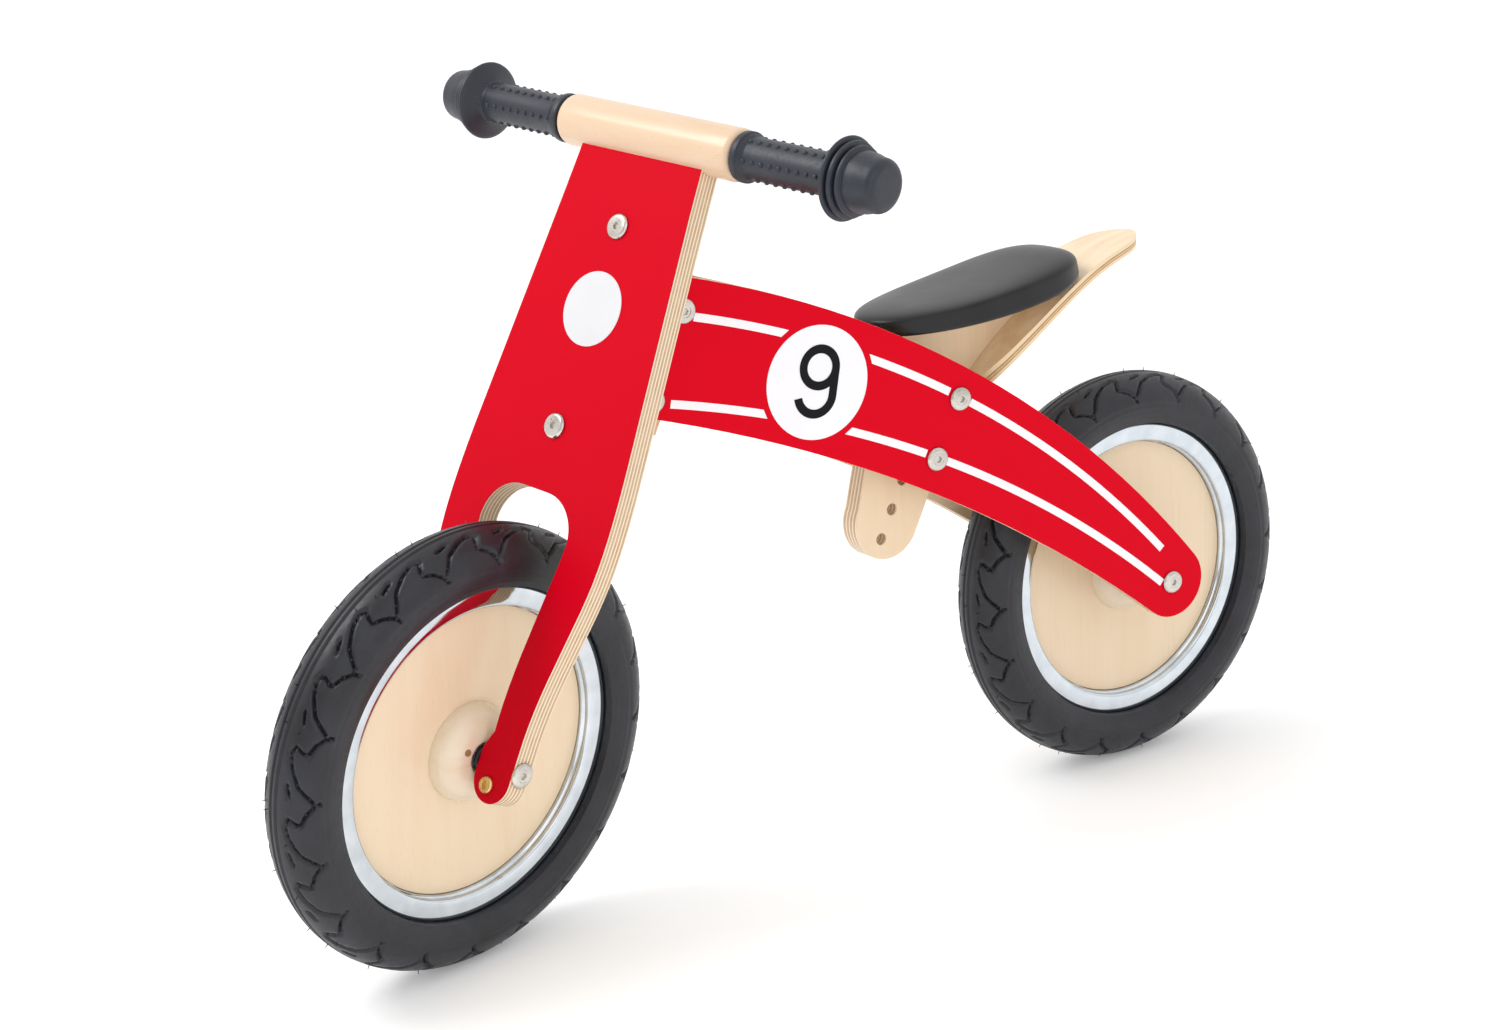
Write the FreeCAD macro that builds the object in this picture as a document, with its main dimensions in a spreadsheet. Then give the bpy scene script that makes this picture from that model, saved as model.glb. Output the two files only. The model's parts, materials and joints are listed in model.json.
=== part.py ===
import FreeCAD, Part
import Sketcher
import math
import os

from FreeCAD import Placement, Rotation, Vector

# Wooden balance bike. Millimetres, +X forward, +Y to the rider's left, +Z up.
# The origin lies on the ground, midway between the two wheel centres of a straight-steered bike.
# The front assembly is drawn in its own axes (X ahead of the fork board, Y along the front axle,
# Z up the board, origin at the wheel centre) and is then placed leaning back and steered left.

doc = FreeCAD.newDocument("balance_bike")
sheet = doc.addObject("Spreadsheet::Sheet", "Sheet")

DIMENSIONS = [
    ("wheelbase", 563.4), ("tyreRadius", 148.0), ("tyreTube", 23.8), ("tyreWall", 3.4),
    ("tubeCentre", 127.6), ("tubeRadius", 15.6),
    ("flangeRadius", 110.5), ("flangeHalf", 14.6), ("beadRadius", 101.6), ("beadHalf", 12.9),
    ("rimWall", 1.4), ("wellRadius", 96.2), ("wellHalf", 7.0), ("discHalf", 6.0),
    ("discBore", 11.2), ("hubRadius", 33.0), ("hubHeight", 16.0), ("hubNose", 13.0),
    ("bearingRadius", 11.0), ("bearingWidth", 7.0), ("hubHalf", 21.5),
    ("axleRadius", 4.0), ("runningGap", 0.05),
    ("headAngle", 24.84), ("steerRest", 13.92), ("steerOffset", 32.3),
    ("forkThickness", 16.0), ("forkTop", 392.0), ("forkTopHalf", 53.0),
    ("archTop", 171.0), ("archHalf", 40.0), ("archCorner", 28.0),
    ("footHalf", 15.5), ("footCentre", 40.0), ("footDrop", 8.5),
    ("upperBolt", 343.3), ("lowerBolt", 212.3), ("blockHeight", 22.0), ("blockHalf", 17.0),
    ("blockReach", 17.0), ("pinRadius", 5.0), ("bushWall", 1.5), ("washerThickness", 1.5),
    ("panelThickness", 9.0), ("panelSpread", 57.5), ("panelAngle", 5.1), ("panelEnd", 26.9),
    ("panelNose", 10.0), ("headBoltBehind", 18.2), ("headBoltUpper", 306.4),
    ("headBoltLower", 246.0),
    ("boltHeadRadius", 8.3), ("boltHeadHeight", 2.6), ("boltShank", 2.9), ("boltSocket", 2.6),
    ("postThickness", 16.0), ("postHalf", 27.0), ("postHole", 4.25), ("holePitch", 22.0),
    ("postLean", 26.9), ("seatBoltAhead", 181.4), ("seatBoltUp", 166.7), ("spacerRadius", 10.0),
    ("tailThickness", 8.0), ("tailFootAngle", 46.3), ("tailBend", 286.5), ("tailLength", 191.0),
    ("seatLean", 8.0), ("seatBoard", 8.0), ("seatLength", 176.0), ("seatWidth", 101.0),
    ("seatFoam", 14.0), ("seatInset", 6.0), ("panelBore", 4.8), ("valveReach", 84.0),
    ("barRadius", 16.8), ("barHalf", 76.5), ("barCore", 10.8), ("barUp", 404.5),
    ("gripRadius", 13.2), ("gripCollar", 16.0), ("gripFlange", 25.6), ("gripStart", 77.0),
    ("gripFlangeAt", 157.0), ("gripEnd", 190.5),
]
for row, (alias, value) in enumerate(DIMENSIONS, start=1):
    sheet.set(f"A{row}", alias)
    sheet.set(f"B{row}", str(value))
    sheet.setAlias(f"B{row}", alias)
doc.recompute()


def size(alias):
    return float(sheet.get(alias))


AXLE_HEIGHT = size("tyreRadius")
HALF_BASE = size("wheelbase") / 2
HEAD = math.radians(size("headAngle"))
UP_BOARD = Vector(-math.sin(HEAD), 0, math.cos(HEAD))
AHEAD = Vector(math.cos(HEAD), 0, math.sin(HEAD))
FRONT_CENTRE = Vector(HALF_BASE, 0, AXLE_HEIGHT)
REAR_CENTRE = Vector(-HALF_BASE, 0, AXLE_HEIGHT)
STEER_FOOT = FRONT_CENTRE - AHEAD * size("steerOffset")

ORIGIN = Placement()
rearPlace = Placement(REAR_CENTRE, Rotation())
leaned = Placement(FRONT_CENTRE, Rotation(Vector(0, 1, 0), -size("headAngle")))
steered = Placement(Vector(), Rotation(UP_BOARD, size("steerRest")), STEER_FOOT)
frontPlace = steered * leaned
headPlace = Placement(STEER_FOOT, Rotation(Vector(0, 1, 0), -size("headAngle")))

subParts = []


def keep(obj, label, place=ORIGIN):
    obj.Label = label
    obj.Placement = place
    subParts.append(obj)
    return obj


def originPlane(body, role):
    return next(f for f in body.Origin.OriginFeatures if f.Role == role)


def outlineCurves(outline):
    # an outline is a list of runs: two points are a line, "arc" takes three, "curve" any number
    curves = []
    for kind, points in outline:
        places = [Vector(u, v, 0) for u, v in points]
        if kind == "line":
            curves.append(Part.LineSegment(places[0], places[1]))
        elif kind == "arc":
            curves.append(Part.Arc(*places))
        else:
            spline = Part.BSplineCurve()
            spline.interpolate(places)
            curves.append(spline)
    return curves


def chain(*corners):
    # straight runs from corner to corner
    return [("line", pair) for pair in zip(corners[:-1], corners[1:])]


def addSketch(body, name, role, outline, shift=0.0):
    sketch = body.newObject("Sketcher::SketchObject", name)
    sketch.AttachmentSupport = [(originPlane(body, role), "")]
    sketch.MapMode = "FlatFace"
    sketch.AttachmentOffset = Placement(Vector(0, 0, shift), Rotation())
    for curve in outlineCurves(outline):
        sketch.addGeometry(curve, False)
    return sketch


def addCircles(body, name, role, centres, radiusAlias, shift=0.0):
    # round holes whose radius follows the sheet
    sketch = addSketch(body, name, role, [], shift)
    for u, v in centres:
        circle = Part.Circle(Vector(u, v, 0), Vector(0, 0, 1), size(radiusAlias))
        index = sketch.addGeometry(circle, False)
        constraint = sketch.addConstraint(Sketcher.Constraint("Radius", index, size(radiusAlias)))
        sketch.setExpression(f"Constraints[{constraint}]", f"Sheet.{radiusAlias}")
    return sketch


def pad(body, sketch, expression, midplane=False, reverse=False):
    feature = body.newObject("PartDesign::Pad", sketch.Name + "Pad")
    feature.Profile = sketch
    feature.Midplane = midplane
    feature.Reversed = reverse
    feature.setExpression("Length", expression)
    doc.recompute()
    return feature


def cutThrough(body, sketch, midplane=True, reverse=False, depth=None):
    before = body.Shape.Volume
    feature = body.newObject("PartDesign::Pocket", sketch.Name + "Cut")
    feature.Profile = sketch
    feature.Midplane = midplane
    feature.Reversed = reverse
    if depth:
        feature.setExpression("Length", depth)
    else:
        feature.Type = "ThroughAll"
    doc.recompute()
    if body.Shape.Volume >= before - 1:
        raise RuntimeError(f"{sketch.Name} cuts nothing")
    return feature


def board(label, role, outline, expression, midplane=False, reverse=False):
    body = doc.addObject("PartDesign::Body", label)
    pad(body, addSketch(body, label + "Outline", role, outline), expression, midplane, reverse)
    return body


def turned(label, outline):
    # a turned piece: the outline holds (radius, distance along the axle) and spins about Y
    body = doc.addObject("PartDesign::Body", label)
    sketch = addSketch(body, label + "Profile", "XY_Plane", outline)
    feature = body.newObject("PartDesign::Revolution", label + "Turn")
    feature.Profile = sketch
    feature.ReferenceAxis = (sketch, ["V_Axis"])
    feature.Angle = 360
    doc.recompute()
    return body


def closed(*corners):
    return chain(*corners, corners[0])


def ring(label, inner, outer, low, high):
    return turned(label, closed((inner, low), (outer, low), (outer, high), (inner, high)))


def rod(name, radiusExpression, lengthExpression, base=Vector(), axis=Vector(0, 1, 0)):
    # a round bar that starts at base and runs along axis
    bar = doc.addObject("Part::Cylinder", name)
    bar.setExpression("Radius", radiusExpression)
    bar.setExpression("Height", lengthExpression)
    bar.Placement = Placement(base, Rotation(Vector(0, 0, 1), axis))
    return bar


def joined(name, pieces):
    result = doc.addObject("Part::MultiFuse", name)
    result.Shapes = pieces
    return result


def without(name, base, tool):
    result = doc.addObject("Part::Cut", name)
    result.Base = base
    result.Tool = tool
    return result


def copies(label, master, places):
    # identical fasteners share one node, as separate solids
    doc.recompute()
    group = doc.addObject("Part::Feature", label)
    solids = []
    for place in places:
        solid = master.Shape.copy()
        solid.Placement = place * solid.Placement
        solids.append(solid)
    group.Shape = Part.makeCompound(solids)
    return keep(group, label)


# ---- wheels -------------------------------------------------------------------------------

def tyreOutline():
    centre = size("tyreRadius") - size("tyreTube")
    tube = size("tyreTube")
    inside = tube - size("tyreWall")
    ledge = size("flangeRadius") + 1.3
    bead = size("beadHalf")
    foot = size("beadRadius") + 0.3
    shoulder = math.sqrt(tube ** 2 - (centre - ledge) ** 2)
    innerFoot = bead - size("tyreWall")
    innerLedge = ledge + size("tyreWall")
    innerShoulder = math.sqrt(inside ** 2 - (centre - innerLedge) ** 2)
    return (
        [("arc", ((ledge, -shoulder), (centre + tube, 0), (ledge, shoulder)))]
        + chain((ledge, shoulder), (ledge - 1, bead), (foot, bead), (foot, innerFoot),
                (innerLedge - 1, innerFoot), (innerLedge, innerShoulder))
        + [("arc", ((innerLedge, innerShoulder), (centre + inside, 0),
                    (innerLedge, -innerShoulder)))]
        + chain((innerLedge, -innerShoulder), (innerLedge - 1, -innerFoot), (foot, -innerFoot),
                (foot, -bead), (ledge - 1, -bead), (ledge, -shoulder)))


def rimOutline():
    flange = size("flangeRadius")
    half = size("flangeHalf")
    wall = size("rimWall")
    seat = size("beadRadius")
    well = size("wellRadius")
    wellHalf = size("wellHalf")
    outside = [(flange, half), (seat - wall, half), (seat - wall, wellHalf + wall), (well, wellHalf)]
    inside = [(well + wall, wellHalf - wall), (seat, wellHalf), (seat, half - wall),
              (flange, half - wall)]
    mirrored = [(r, -y) for r, y in reversed(outside)]
    mirroredInside = [(r, -y) for r, y in reversed(inside)]
    return closed(*outside, *mirrored, *mirroredInside, *inside)


def discOutline():
    half = size("discHalf")
    return closed((size("discBore"), -half), (size("wellRadius") - 0.2, -half),
                  (size("wellRadius") - 0.2, half), (size("discBore"), half))


def hubOutline(side):
    # a turned dome that stands on the disc, flat at its nose
    base = size("discHalf") + 0.1
    top = base + size("hubHeight") - 0.6
    nose = size("hubNose")
    bore = size("bearingRadius") + 0.1
    radius = size("hubRadius")
    middle = (nose + (radius - nose) * 0.76, base + size("hubHeight") * 0.62)
    return (chain((nose, side * top), (bore, side * top), (bore, side * base),
                  (radius, side * base))
            + [("arc", ((radius, side * base), (middle[0], side * middle[1]),
                        (nose, side * top)))])


def buildWheel(name, place):
    keep(turned(name + "_tyre", tyreOutline()), name + "_tyre", place)
    keep(turned(name + "_rim", rimOutline()), name + "_rim", place)
    keep(turned(name + "_disc", discOutline()), name + "_disc", place)
    for side, word in ((1, "left"), (-1, "right")):
        label = f"{name}_hub_{word}"
        keep(turned(label, hubOutline(side)), label, place)

    # the inflated tube fills the tyre's cavity
    tube = doc.addObject("Part::Torus", name + "TubeOutside")
    tube.setExpression("Radius1", "Sheet.tubeCentre")
    tube.setExpression("Radius2", "Sheet.tubeRadius")
    air = doc.addObject("Part::Torus", name + "TubeInside")
    air.setExpression("Radius1", "Sheet.tubeCentre")
    air.setExpression("Radius2", "Sheet.tubeRadius - 1.5")
    onAxle = Rotation(Vector(1, 0, 0), 90)
    keep(without(name + "Tube", tube, air), name + "_inner_tube", place * Placement(Vector(), onAxle))

    width = size("bearingWidth")
    outer = size("bearingRadius")
    bore = size("axleRadius") + size("runningGap")
    end = size("hubHalf")
    bearing = ring(name + "Bearing", bore, outer, end - width, end)
    copies(name + "_bearings", bearing, [
        place, place * Placement(Vector(), Rotation(Vector(0, 0, 1), 180))])
    sleeveEnd = end - width - 0.05
    sleeve = ring(name + "Sleeve", bore + 1, bore + 2.5, -sleeveEnd, sleeveEnd)
    keep(sleeve, name + "_hub_sleeve", place)

    # the valve stands out of the disc on the right
    right = Vector(0, -1, 0)
    foot = Vector(0, -size("discHalf") - 0.1, -size("valveReach"))
    stem = rod(name + "ValveStem", "4", "8", foot, right)
    cap = rod(name + "ValveCap", "3", "6", foot + right * 8, right)
    keep(joined(name + "Valve", [stem, cap]), name + "_valve", place)


buildWheel("front", frontPlace)
buildWheel("rear", rearPlace)


# ---- fasteners ----------------------------------------------------------------------------

def connectorBolt(name, length, radius="Sheet.boltHeadRadius", shank="Sheet.boltShank"):
    # flat-headed socket bolt: the head stands above z = 0, the shank runs down from it
    head = doc.addObject("Part::Cylinder", name + "Head")
    head.setExpression("Radius", radius)
    head.setExpression("Height", "Sheet.boltHeadHeight")
    doc.recompute()
    rounded = doc.addObject("Part::Fillet", name + "Rounded")
    rounded.Base = head
    rounded.Edges = [(3, 1.0, 1.0)]          # the rim of the top face
    stem = doc.addObject("Part::Cylinder", name + "Stem")
    stem.setExpression("Radius", shank)
    stem.Height = length
    stem.Placement = Placement(Vector(0, 0, -length), Rotation())
    socket = doc.addObject("Part::Prism", name + "Socket")
    socket.Polygon = 6
    socket.setExpression("Circumradius", "Sheet.boltSocket")
    socket.Height = 4
    socket.Placement = Placement(Vector(0, 0, size("boltHeadHeight") - 1.8), Rotation())
    return without(name, joined(name + "Body", [rounded, stem]), socket)


# ---- fork assembly ------------------------------------------------------------------------

def forkOutline():
    top = size("forkTop")
    topHalf = size("forkTopHalf")
    arch = size("archTop")
    archHalf = size("archHalf")
    corner = size("archCorner")
    foot = size("footCentre")
    footHalf = size("footHalf")
    drop = -size("footDrop")
    slant = corner * (1 - math.sqrt(0.5))

    def side(sign):
        outer = [(foot + footHalf, 14), (63.6, 83), (71, 128), (71.6, 170), (66.5, 235),
                 (60.5, 300), (topHalf, top)]
        lowCorner = (sign * (foot - footHalf), drop)
        runs = [
            ("curve", [(sign * y, z) for y, z in outer]),
            ("line", ((sign * (foot + footHalf), 14), (sign * (foot + footHalf), drop))),
            ("arc", ((sign * (foot + footHalf), drop), (sign * foot, drop - footHalf), lowCorner)),
            ("line", (lowCorner, (sign * (foot - footHalf), 8))),
            ("line", ((sign * (foot - footHalf), 8), (sign * 30, 20))),
            ("curve", [(sign * 30, 20), (sign * 30.8, 60), (sign * 35.3, 100),
                       (sign * archHalf, arch - corner)]),
            ("arc", ((sign * archHalf, arch - corner), (sign * (archHalf - slant), arch - slant),
                     (sign * (archHalf - corner), arch))),
        ]
        return runs

    return (side(1) + side(-1)
            + [("line", ((topHalf, top), (-topHalf, top))),
               ("line", ((archHalf - corner, arch), (corner - archHalf, arch)))])


FORK_HALF = size("forkThickness") / 2
CROSS_BOLT = (37.8, -13.0)          # small bolts that clamp the plies of each foot

forkBody = board("fork_board", "YZ_Plane", forkOutline(), "Sheet.forkThickness", midplane=True)
cutThrough(forkBody, addCircles(forkBody, "ForkBoltHoles", "YZ_Plane",
                                [(0, size("upperBolt")), (0, size("lowerBolt")),
                                 (CROSS_BOLT[0], CROSS_BOLT[1]), (-CROSS_BOLT[0], CROSS_BOLT[1])],
                                "boltShank"))
cutThrough(forkBody, addCircles(forkBody, "ForkAxleHole", "XZ_Plane", [(0, 0)], "axleRadius"))
keep(forkBody, "fork_board", frontPlace)

steerBolt = connectorBolt("PivotBolt", 22.0)
pivotHeights = (size("upperBolt"), size("lowerBolt"))
facingAhead = Rotation(Vector(0, 0, 1), Vector(1, 0, 0))
copies("pivot_block_bolts", steerBolt, [
    frontPlace * Placement(Vector(FORK_HALF, 0, height), facingAhead) for height in pivotHeights])

crossBolt = connectorBolt("CrossBolt", size("forkThickness") - 1, radius="5.4 mm")
copies("foot_cross_bolts", crossBolt, [
    frontPlace * Placement(Vector(FORK_HALF, side * CROSS_BOLT[0], CROSS_BOLT[1]), facingAhead)
    for side in (1, -1)])


def pivotBlock(label, height):
    # hardwood block behind the fork board, bored for the steering bolt and the clamping bolt
    base = -FORK_HALF - 0.1
    back = -size("steerOffset") - size("blockReach")
    half = size("blockHalf")
    ear = size("blockReach")
    outline = (chain((back + ear, half), (base, half), (base, -half), (back + ear, -half))
               + [("arc", ((back + ear, -half), (back, 0), (back + ear, half)))])
    body = doc.addObject("PartDesign::Body", label)
    pad(body, addSketch(body, label + "Outline", "XY_Plane", outline), "Sheet.blockHeight",
        midplane=True)
    cutThrough(body, addCircles(body, label + "PinHole", "XY_Plane", [(-size("steerOffset"), 0)],
                                "pinRadius"))
    cutThrough(body, addCircles(body, label + "BoltHole", "YZ_Plane", [(0, 0)], "boltShank",
                                base - 15.1), midplane=False, reverse=True)
    keep(body, label, frontPlace * Placement(Vector(0, 0, height), Rotation()))


pivotBlock("upper_pivot_block", size("upperBolt"))
pivotBlock("lower_pivot_block", size("lowerBolt"))

STEER_X = -size("steerOffset")
pinBottom = size("lowerBolt") - size("blockHeight") / 2
pinTop = size("upperBolt") + size("blockHeight") / 2
pinHead = doc.addObject("Part::Prism", "SteeringBoltHead")
pinHead.Polygon = 6
pinHead.Circumradius = 9.0
pinHead.Height = 6.0
pinHead.Placement = Placement(Vector(STEER_X, 0, pinBottom - 6.1), Rotation())
pinShank = rod("SteeringBoltShank", "Sheet.pinRadius", str(pinTop - pinBottom + 10.1),
               Vector(STEER_X, 0, pinBottom - 0.1), Vector(0, 0, 1))
keep(joined("SteeringBolt", [pinHead, pinShank]), "steering_bolt", frontPlace)

nutBlank = doc.addObject("Part::Prism", "SteeringNutBlank")
nutBlank.Polygon = 6
nutBlank.Circumradius = 9.2
nutBlank.Height = 8.0
nutBlank.Placement = Placement(Vector(STEER_X, 0, pinTop + 0.1), Rotation())
nutBore = rod("SteeringNutBore", "Sheet.pinRadius", "20", Vector(STEER_X, 0, pinTop - 5),
              Vector(0, 0, 1))
keep(without("SteeringNut", nutBlank, nutBore), "steering_nut", frontPlace)

# the head block stands between washers that lie against the two pivot blocks
blockLow = size("lowerBolt") + size("blockHeight") / 2
blockHigh = size("upperBolt") - size("blockHeight") / 2
washerBlank = rod("PivotWasherBlank", "13", "Sheet.washerThickness", Vector(), Vector(0, 0, 1))
washerBore = rod("PivotWasherBore", "Sheet.pinRadius + Sheet.runningGap", "10", Vector(0, 0, -4),
                 Vector(0, 0, 1))
washer = without("PivotWasher", washerBlank, washerBore)
copies("pivot_washers", washer, [
    frontPlace * Placement(Vector(STEER_X, 0, blockLow), Rotation()),
    frontPlace * Placement(Vector(STEER_X, 0, blockHigh - size("washerThickness")), Rotation())])


# ---- handlebar ----------------------------------------------------------------------------

def barOutline():
    radius = size("barRadius")
    half = size("barHalf")
    core = size("barCore")
    tip = size("gripEnd") - 12
    soft = 3.0
    bow = soft * (1 - math.sqrt(0.5))
    return (chain((0, -tip), (core, -tip), (core, -half), (radius - soft, -half))
            + [("arc", ((radius - soft, -half), (radius - bow, -half + bow), (radius, -half + soft)))]
            + chain((radius, -half + soft), (radius, half - soft))
            + [("arc", ((radius, half - soft), (radius - bow, half - bow), (radius - soft, half)))]
            + chain((radius - soft, half), (core, half), (core, tip), (0, tip), (0, -tip)))


barPlace = frontPlace * Placement(Vector(0, 0, size("barUp")), Rotation())
seatDrop = size("forkTop") - size("barUp") + 0.1
bar = turned("handlebar", barOutline())
slotX = FORK_HALF + 0.1
slotY = size("forkTopHalf") + 1.2
cutThrough(bar, addSketch(bar, "HandlebarSlot", "XY_Plane",
                          closed((-slotX, -slotY), (slotX, -slotY), (slotX, slotY), (-slotX, slotY)),
                          seatDrop), midplane=False)
keep(bar, "handlebar", barPlace)


def gripOutline(side):
    core = size("barCore") + 0.1
    tube = size("gripRadius")
    collar = size("gripCollar")
    flange = size("gripFlange")
    start = size("gripStart")
    at = size("gripFlangeAt")
    end = size("gripEnd")
    inside = end - 11.5
    profile = chain(
        (0, inside), (core, inside), (core, start), (collar, start), (collar, start + 5),
        (tube, start + 7), (tube, at - 4), (flange - 3, at), (flange, at + 2), (flange, at + 4.5),
        (flange - 3, at + 6), (flange - 3, at + 9.5), (flange - 5.5, at + 11),
        (flange - 5.5, at + 14))
    dome = [("arc", ((flange - 5.5, at + 14), (flange - 8.4, end - 6), (flange - 16, end)))]
    outline = profile + dome + chain((flange - 16, end), (0, end), (0, inside))
    return [(kind, [(r, side * y) for r, y in points]) for kind, points in outline]


for side, label in ((1, "grip_left"), (-1, "grip_right")):
    keep(turned(label, gripOutline(side)), label, barPlace)


# ---- axles --------------------------------------------------------------------------------

def axle(label, halfLength, place):
    bar = rod(label + "Bar", "Sheet.axleRadius", str(2 * halfLength), Vector(0, -halfLength, 0))
    keep(bar, label, place * bar.Placement)


def axleBolts(label, reach, place, tilt=0.0):
    # bolts screwed into the ends of the hollow axle: their heads lie on the outside
    bolt = connectorBolt(label + "Bolt", 0.1)
    copies(label, bolt, [
        place * Placement(Vector(0, side * reach, 0),
                          Rotation(Vector(0, 0, 1), -side * tilt)
                          * Rotation(Vector(0, 0, 1), Vector(0, side, 0)))
        for side in (1, -1)])


FORK_OUT = size("footCentre") + size("footHalf")
FORK_IN = size("footCentre") - size("footHalf")
axle("front_axle", FORK_OUT - 0.2, frontPlace)
axleBolts("front_axle_bolts", FORK_OUT + 0.15, frontPlace)
gap = ring("FrontSpacer", size("axleRadius") + 0.1, 9.0, size("hubHalf") + 0.5, FORK_IN - 0.1)
half = Rotation(Vector(0, 0, 1), 180)
copies("front_axle_spacers", gap, [frontPlace, frontPlace * Placement(Vector(), half)])

PANEL_TURN = math.radians(size("panelAngle"))
panelIn = size("panelSpread") - size("panelThickness") / math.cos(PANEL_TURN)
axle("rear_axle", size("panelSpread") - 1.2, rearPlace)
axleBolts("rear_axle_bolts", size("panelSpread") + 0.15, rearPlace, size("panelAngle"))
longGap = ring("RearSpacer", size("axleRadius") + 0.1, 9.0, size("hubHalf") + 0.5, panelIn - 1.1)
copies("rear_axle_spacers", longGap, [rearPlace, rearPlace * Placement(Vector(), half)])


# ---- side panels --------------------------------------------------------------------------

def lineMeetsCircle(start, direction, centre, radius):
    # the crossing that lies furthest along the line
    gapU = start[0] - centre[0]
    gapV = start[1] - centre[1]
    along = gapU * direction[0] + gapV * direction[1]
    reach = -along + math.sqrt(along ** 2 - gapU ** 2 - gapV ** 2 + radius ** 2)
    return (start[0] + reach * direction[0], start[1] + reach * direction[1])


def panelOutline():
    # measured from the rear axle: two long arcs that touch a round end, and a front end that
    # runs beside the steering axis
    spread = math.cos(PANEL_TURN)
    upper = ((593.0) / spread, -495.3)
    lower = ((748.2) / spread, -928.1)
    end = size("panelEnd")
    farUpper = math.hypot(*upper)
    farLower = math.hypot(*lower)
    upperTouch = (-upper[0] * end / farUpper, -upper[1] * end / farUpper)
    lowerTouch = (lower[0] * end / farLower, lower[1] * end / farLower)
    back = (upperTouch[0] + lowerTouch[0], upperTouch[1] + lowerTouch[1])
    backLength = math.hypot(*back)
    backPoint = (back[0] * end / backLength, back[1] * end / backLength)
    nose = STEER_FOOT + AHEAD * size("panelNose") - REAR_CENTRE
    noseLine = (nose.x / spread, nose.z)
    direction = (UP_BOARD.x / spread, UP_BOARD.z)
    length = math.hypot(*direction)
    direction = (direction[0] / length, direction[1] / length)
    top = lineMeetsCircle(noseLine, direction, upper, farUpper + end)
    bottom = lineMeetsCircle(noseLine, direction, lower, farLower - end)

    def onArc(centre, radius, along):
        return (along, centre[1] + math.sqrt(radius ** 2 - (along - centre[0]) ** 2))

    middleTop = onArc(upper, farUpper + end, (top[0] + upperTouch[0]) / 2)
    middleLow = onArc(lower, farLower - end, (bottom[0] + lowerTouch[0]) / 2)
    return [("arc", (top, middleTop, upperTouch)), ("arc", (upperTouch, backPoint, lowerTouch)),
            ("arc", (lowerTouch, middleLow, bottom)), ("line", (bottom, top))]


def headBolt(height):
    place = STEER_FOOT + UP_BOARD * height - AHEAD * size("headBoltBehind") - REAR_CENTRE
    return (place.x / math.cos(PANEL_TURN), place.z)


LEAN = math.radians(size("postLean"))
upperSeatBolt = (size("seatBoltAhead") / math.cos(PANEL_TURN), size("seatBoltUp"))
step = 2 * size("holePitch")
lowerSeatBolt = (upperSeatBolt[0] + step * math.sin(LEAN), upperSeatBolt[1] - step * math.cos(LEAN))
PANEL_BOLTS = [upperSeatBolt, lowerSeatBolt,
               headBolt(size("headBoltUpper")), headBolt(size("headBoltLower"))]

AXLE_SHIFT = 0.4                    # the axle leans across the tilted panel
panelPlaces = {}
for side, word in ((1, "left"), (-1, "right")):
    label = f"side_panel_{word}"
    spread = Vector(0, side * size("panelSpread"), 0)
    place = Placement(REAR_CENTRE + spread, Rotation(Vector(0, 0, 1), -side * size("panelAngle")))
    panelPlaces[side] = place
    body = board(label, "XZ_Plane", panelOutline(), "Sheet.panelThickness", reverse=side < 0)
    cutThrough(body, addCircles(body, label + "Holes", "XZ_Plane", PANEL_BOLTS, "boltShank"))
    cutThrough(body, addCircles(body, label + "AxleHole", "XZ_Plane", [(AXLE_SHIFT, 0)],
                                "panelBore"))
    keep(body, label, place)

def facingOut(side):
    return Rotation(Vector(0, 0, 1), Vector(0, side, 0))


SEAT_SHANK = 38.0
HEAD_SHANK = 20.0
for label, places, length in (("seat_bolts", PANEL_BOLTS[:2], SEAT_SHANK),
                              ("head_bolts", PANEL_BOLTS[2:], HEAD_SHANK)):
    bolt = connectorBolt(label + "Bolt", length)
    copies(label, bolt, [
        panelPlaces[side] * Placement(Vector(u, side * 0.02, v), facingOut(side))
        for side in (1, -1) for u, v in places])


# ---- head block ---------------------------------------------------------------------------

def wedge(name, near, far, low, high):
    # a block between the two panels: half widths follow the panels' inner faces
    def halfAt(ahead, up):
        x = STEER_FOOT.x + UP_BOARD.x * up + AHEAD.x * ahead
        return panelIn - (x + HALF_BASE) * math.tan(PANEL_TURN) - 0.1

    rings = []
    for up in (low, high):
        corners = [Vector(ahead, side * halfAt(ahead, up), up)
                   for ahead, side in ((near, 1), (far, 1), (far, -1), (near, -1))]
        rings.append(Part.makePolygon(corners + [corners[0]]))
    solid = Part.makeLoft(rings, True, True)
    block = doc.addObject("Part::Feature", name)
    block.Shape = solid
    return block


lowFace = blockLow + size("washerThickness") + 0.3
highFace = blockHigh - size("washerThickness") - 0.3
blank = wedge("HeadBlank", -34.0, size("panelNose") - 0.5, lowFace, highFace)
bore = rod("HeadBore", "Sheet.pinRadius + Sheet.bushWall + 0.05", "400", Vector(), Vector(0, 0, 1))
boltHoles = []
for index, (u, v) in enumerate(PANEL_BOLTS[2:]):
    for side in (1, -1):
        inward = panelPlaces[side] * Placement(Vector(u, 0, v), facingOut(-side))
        tool = rod(f"HeadBoltHole{index}{'LR'[side < 0]}", "Sheet.boltShank", "20.5")
        tool.Placement = headPlace.inverse() * inward
        boltHoles.append(tool)
headTools = joined("HeadHoles", [bore] + boltHoles)
keep(without("HeadBlock", blank, headTools), "head_block", headPlace)

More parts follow.
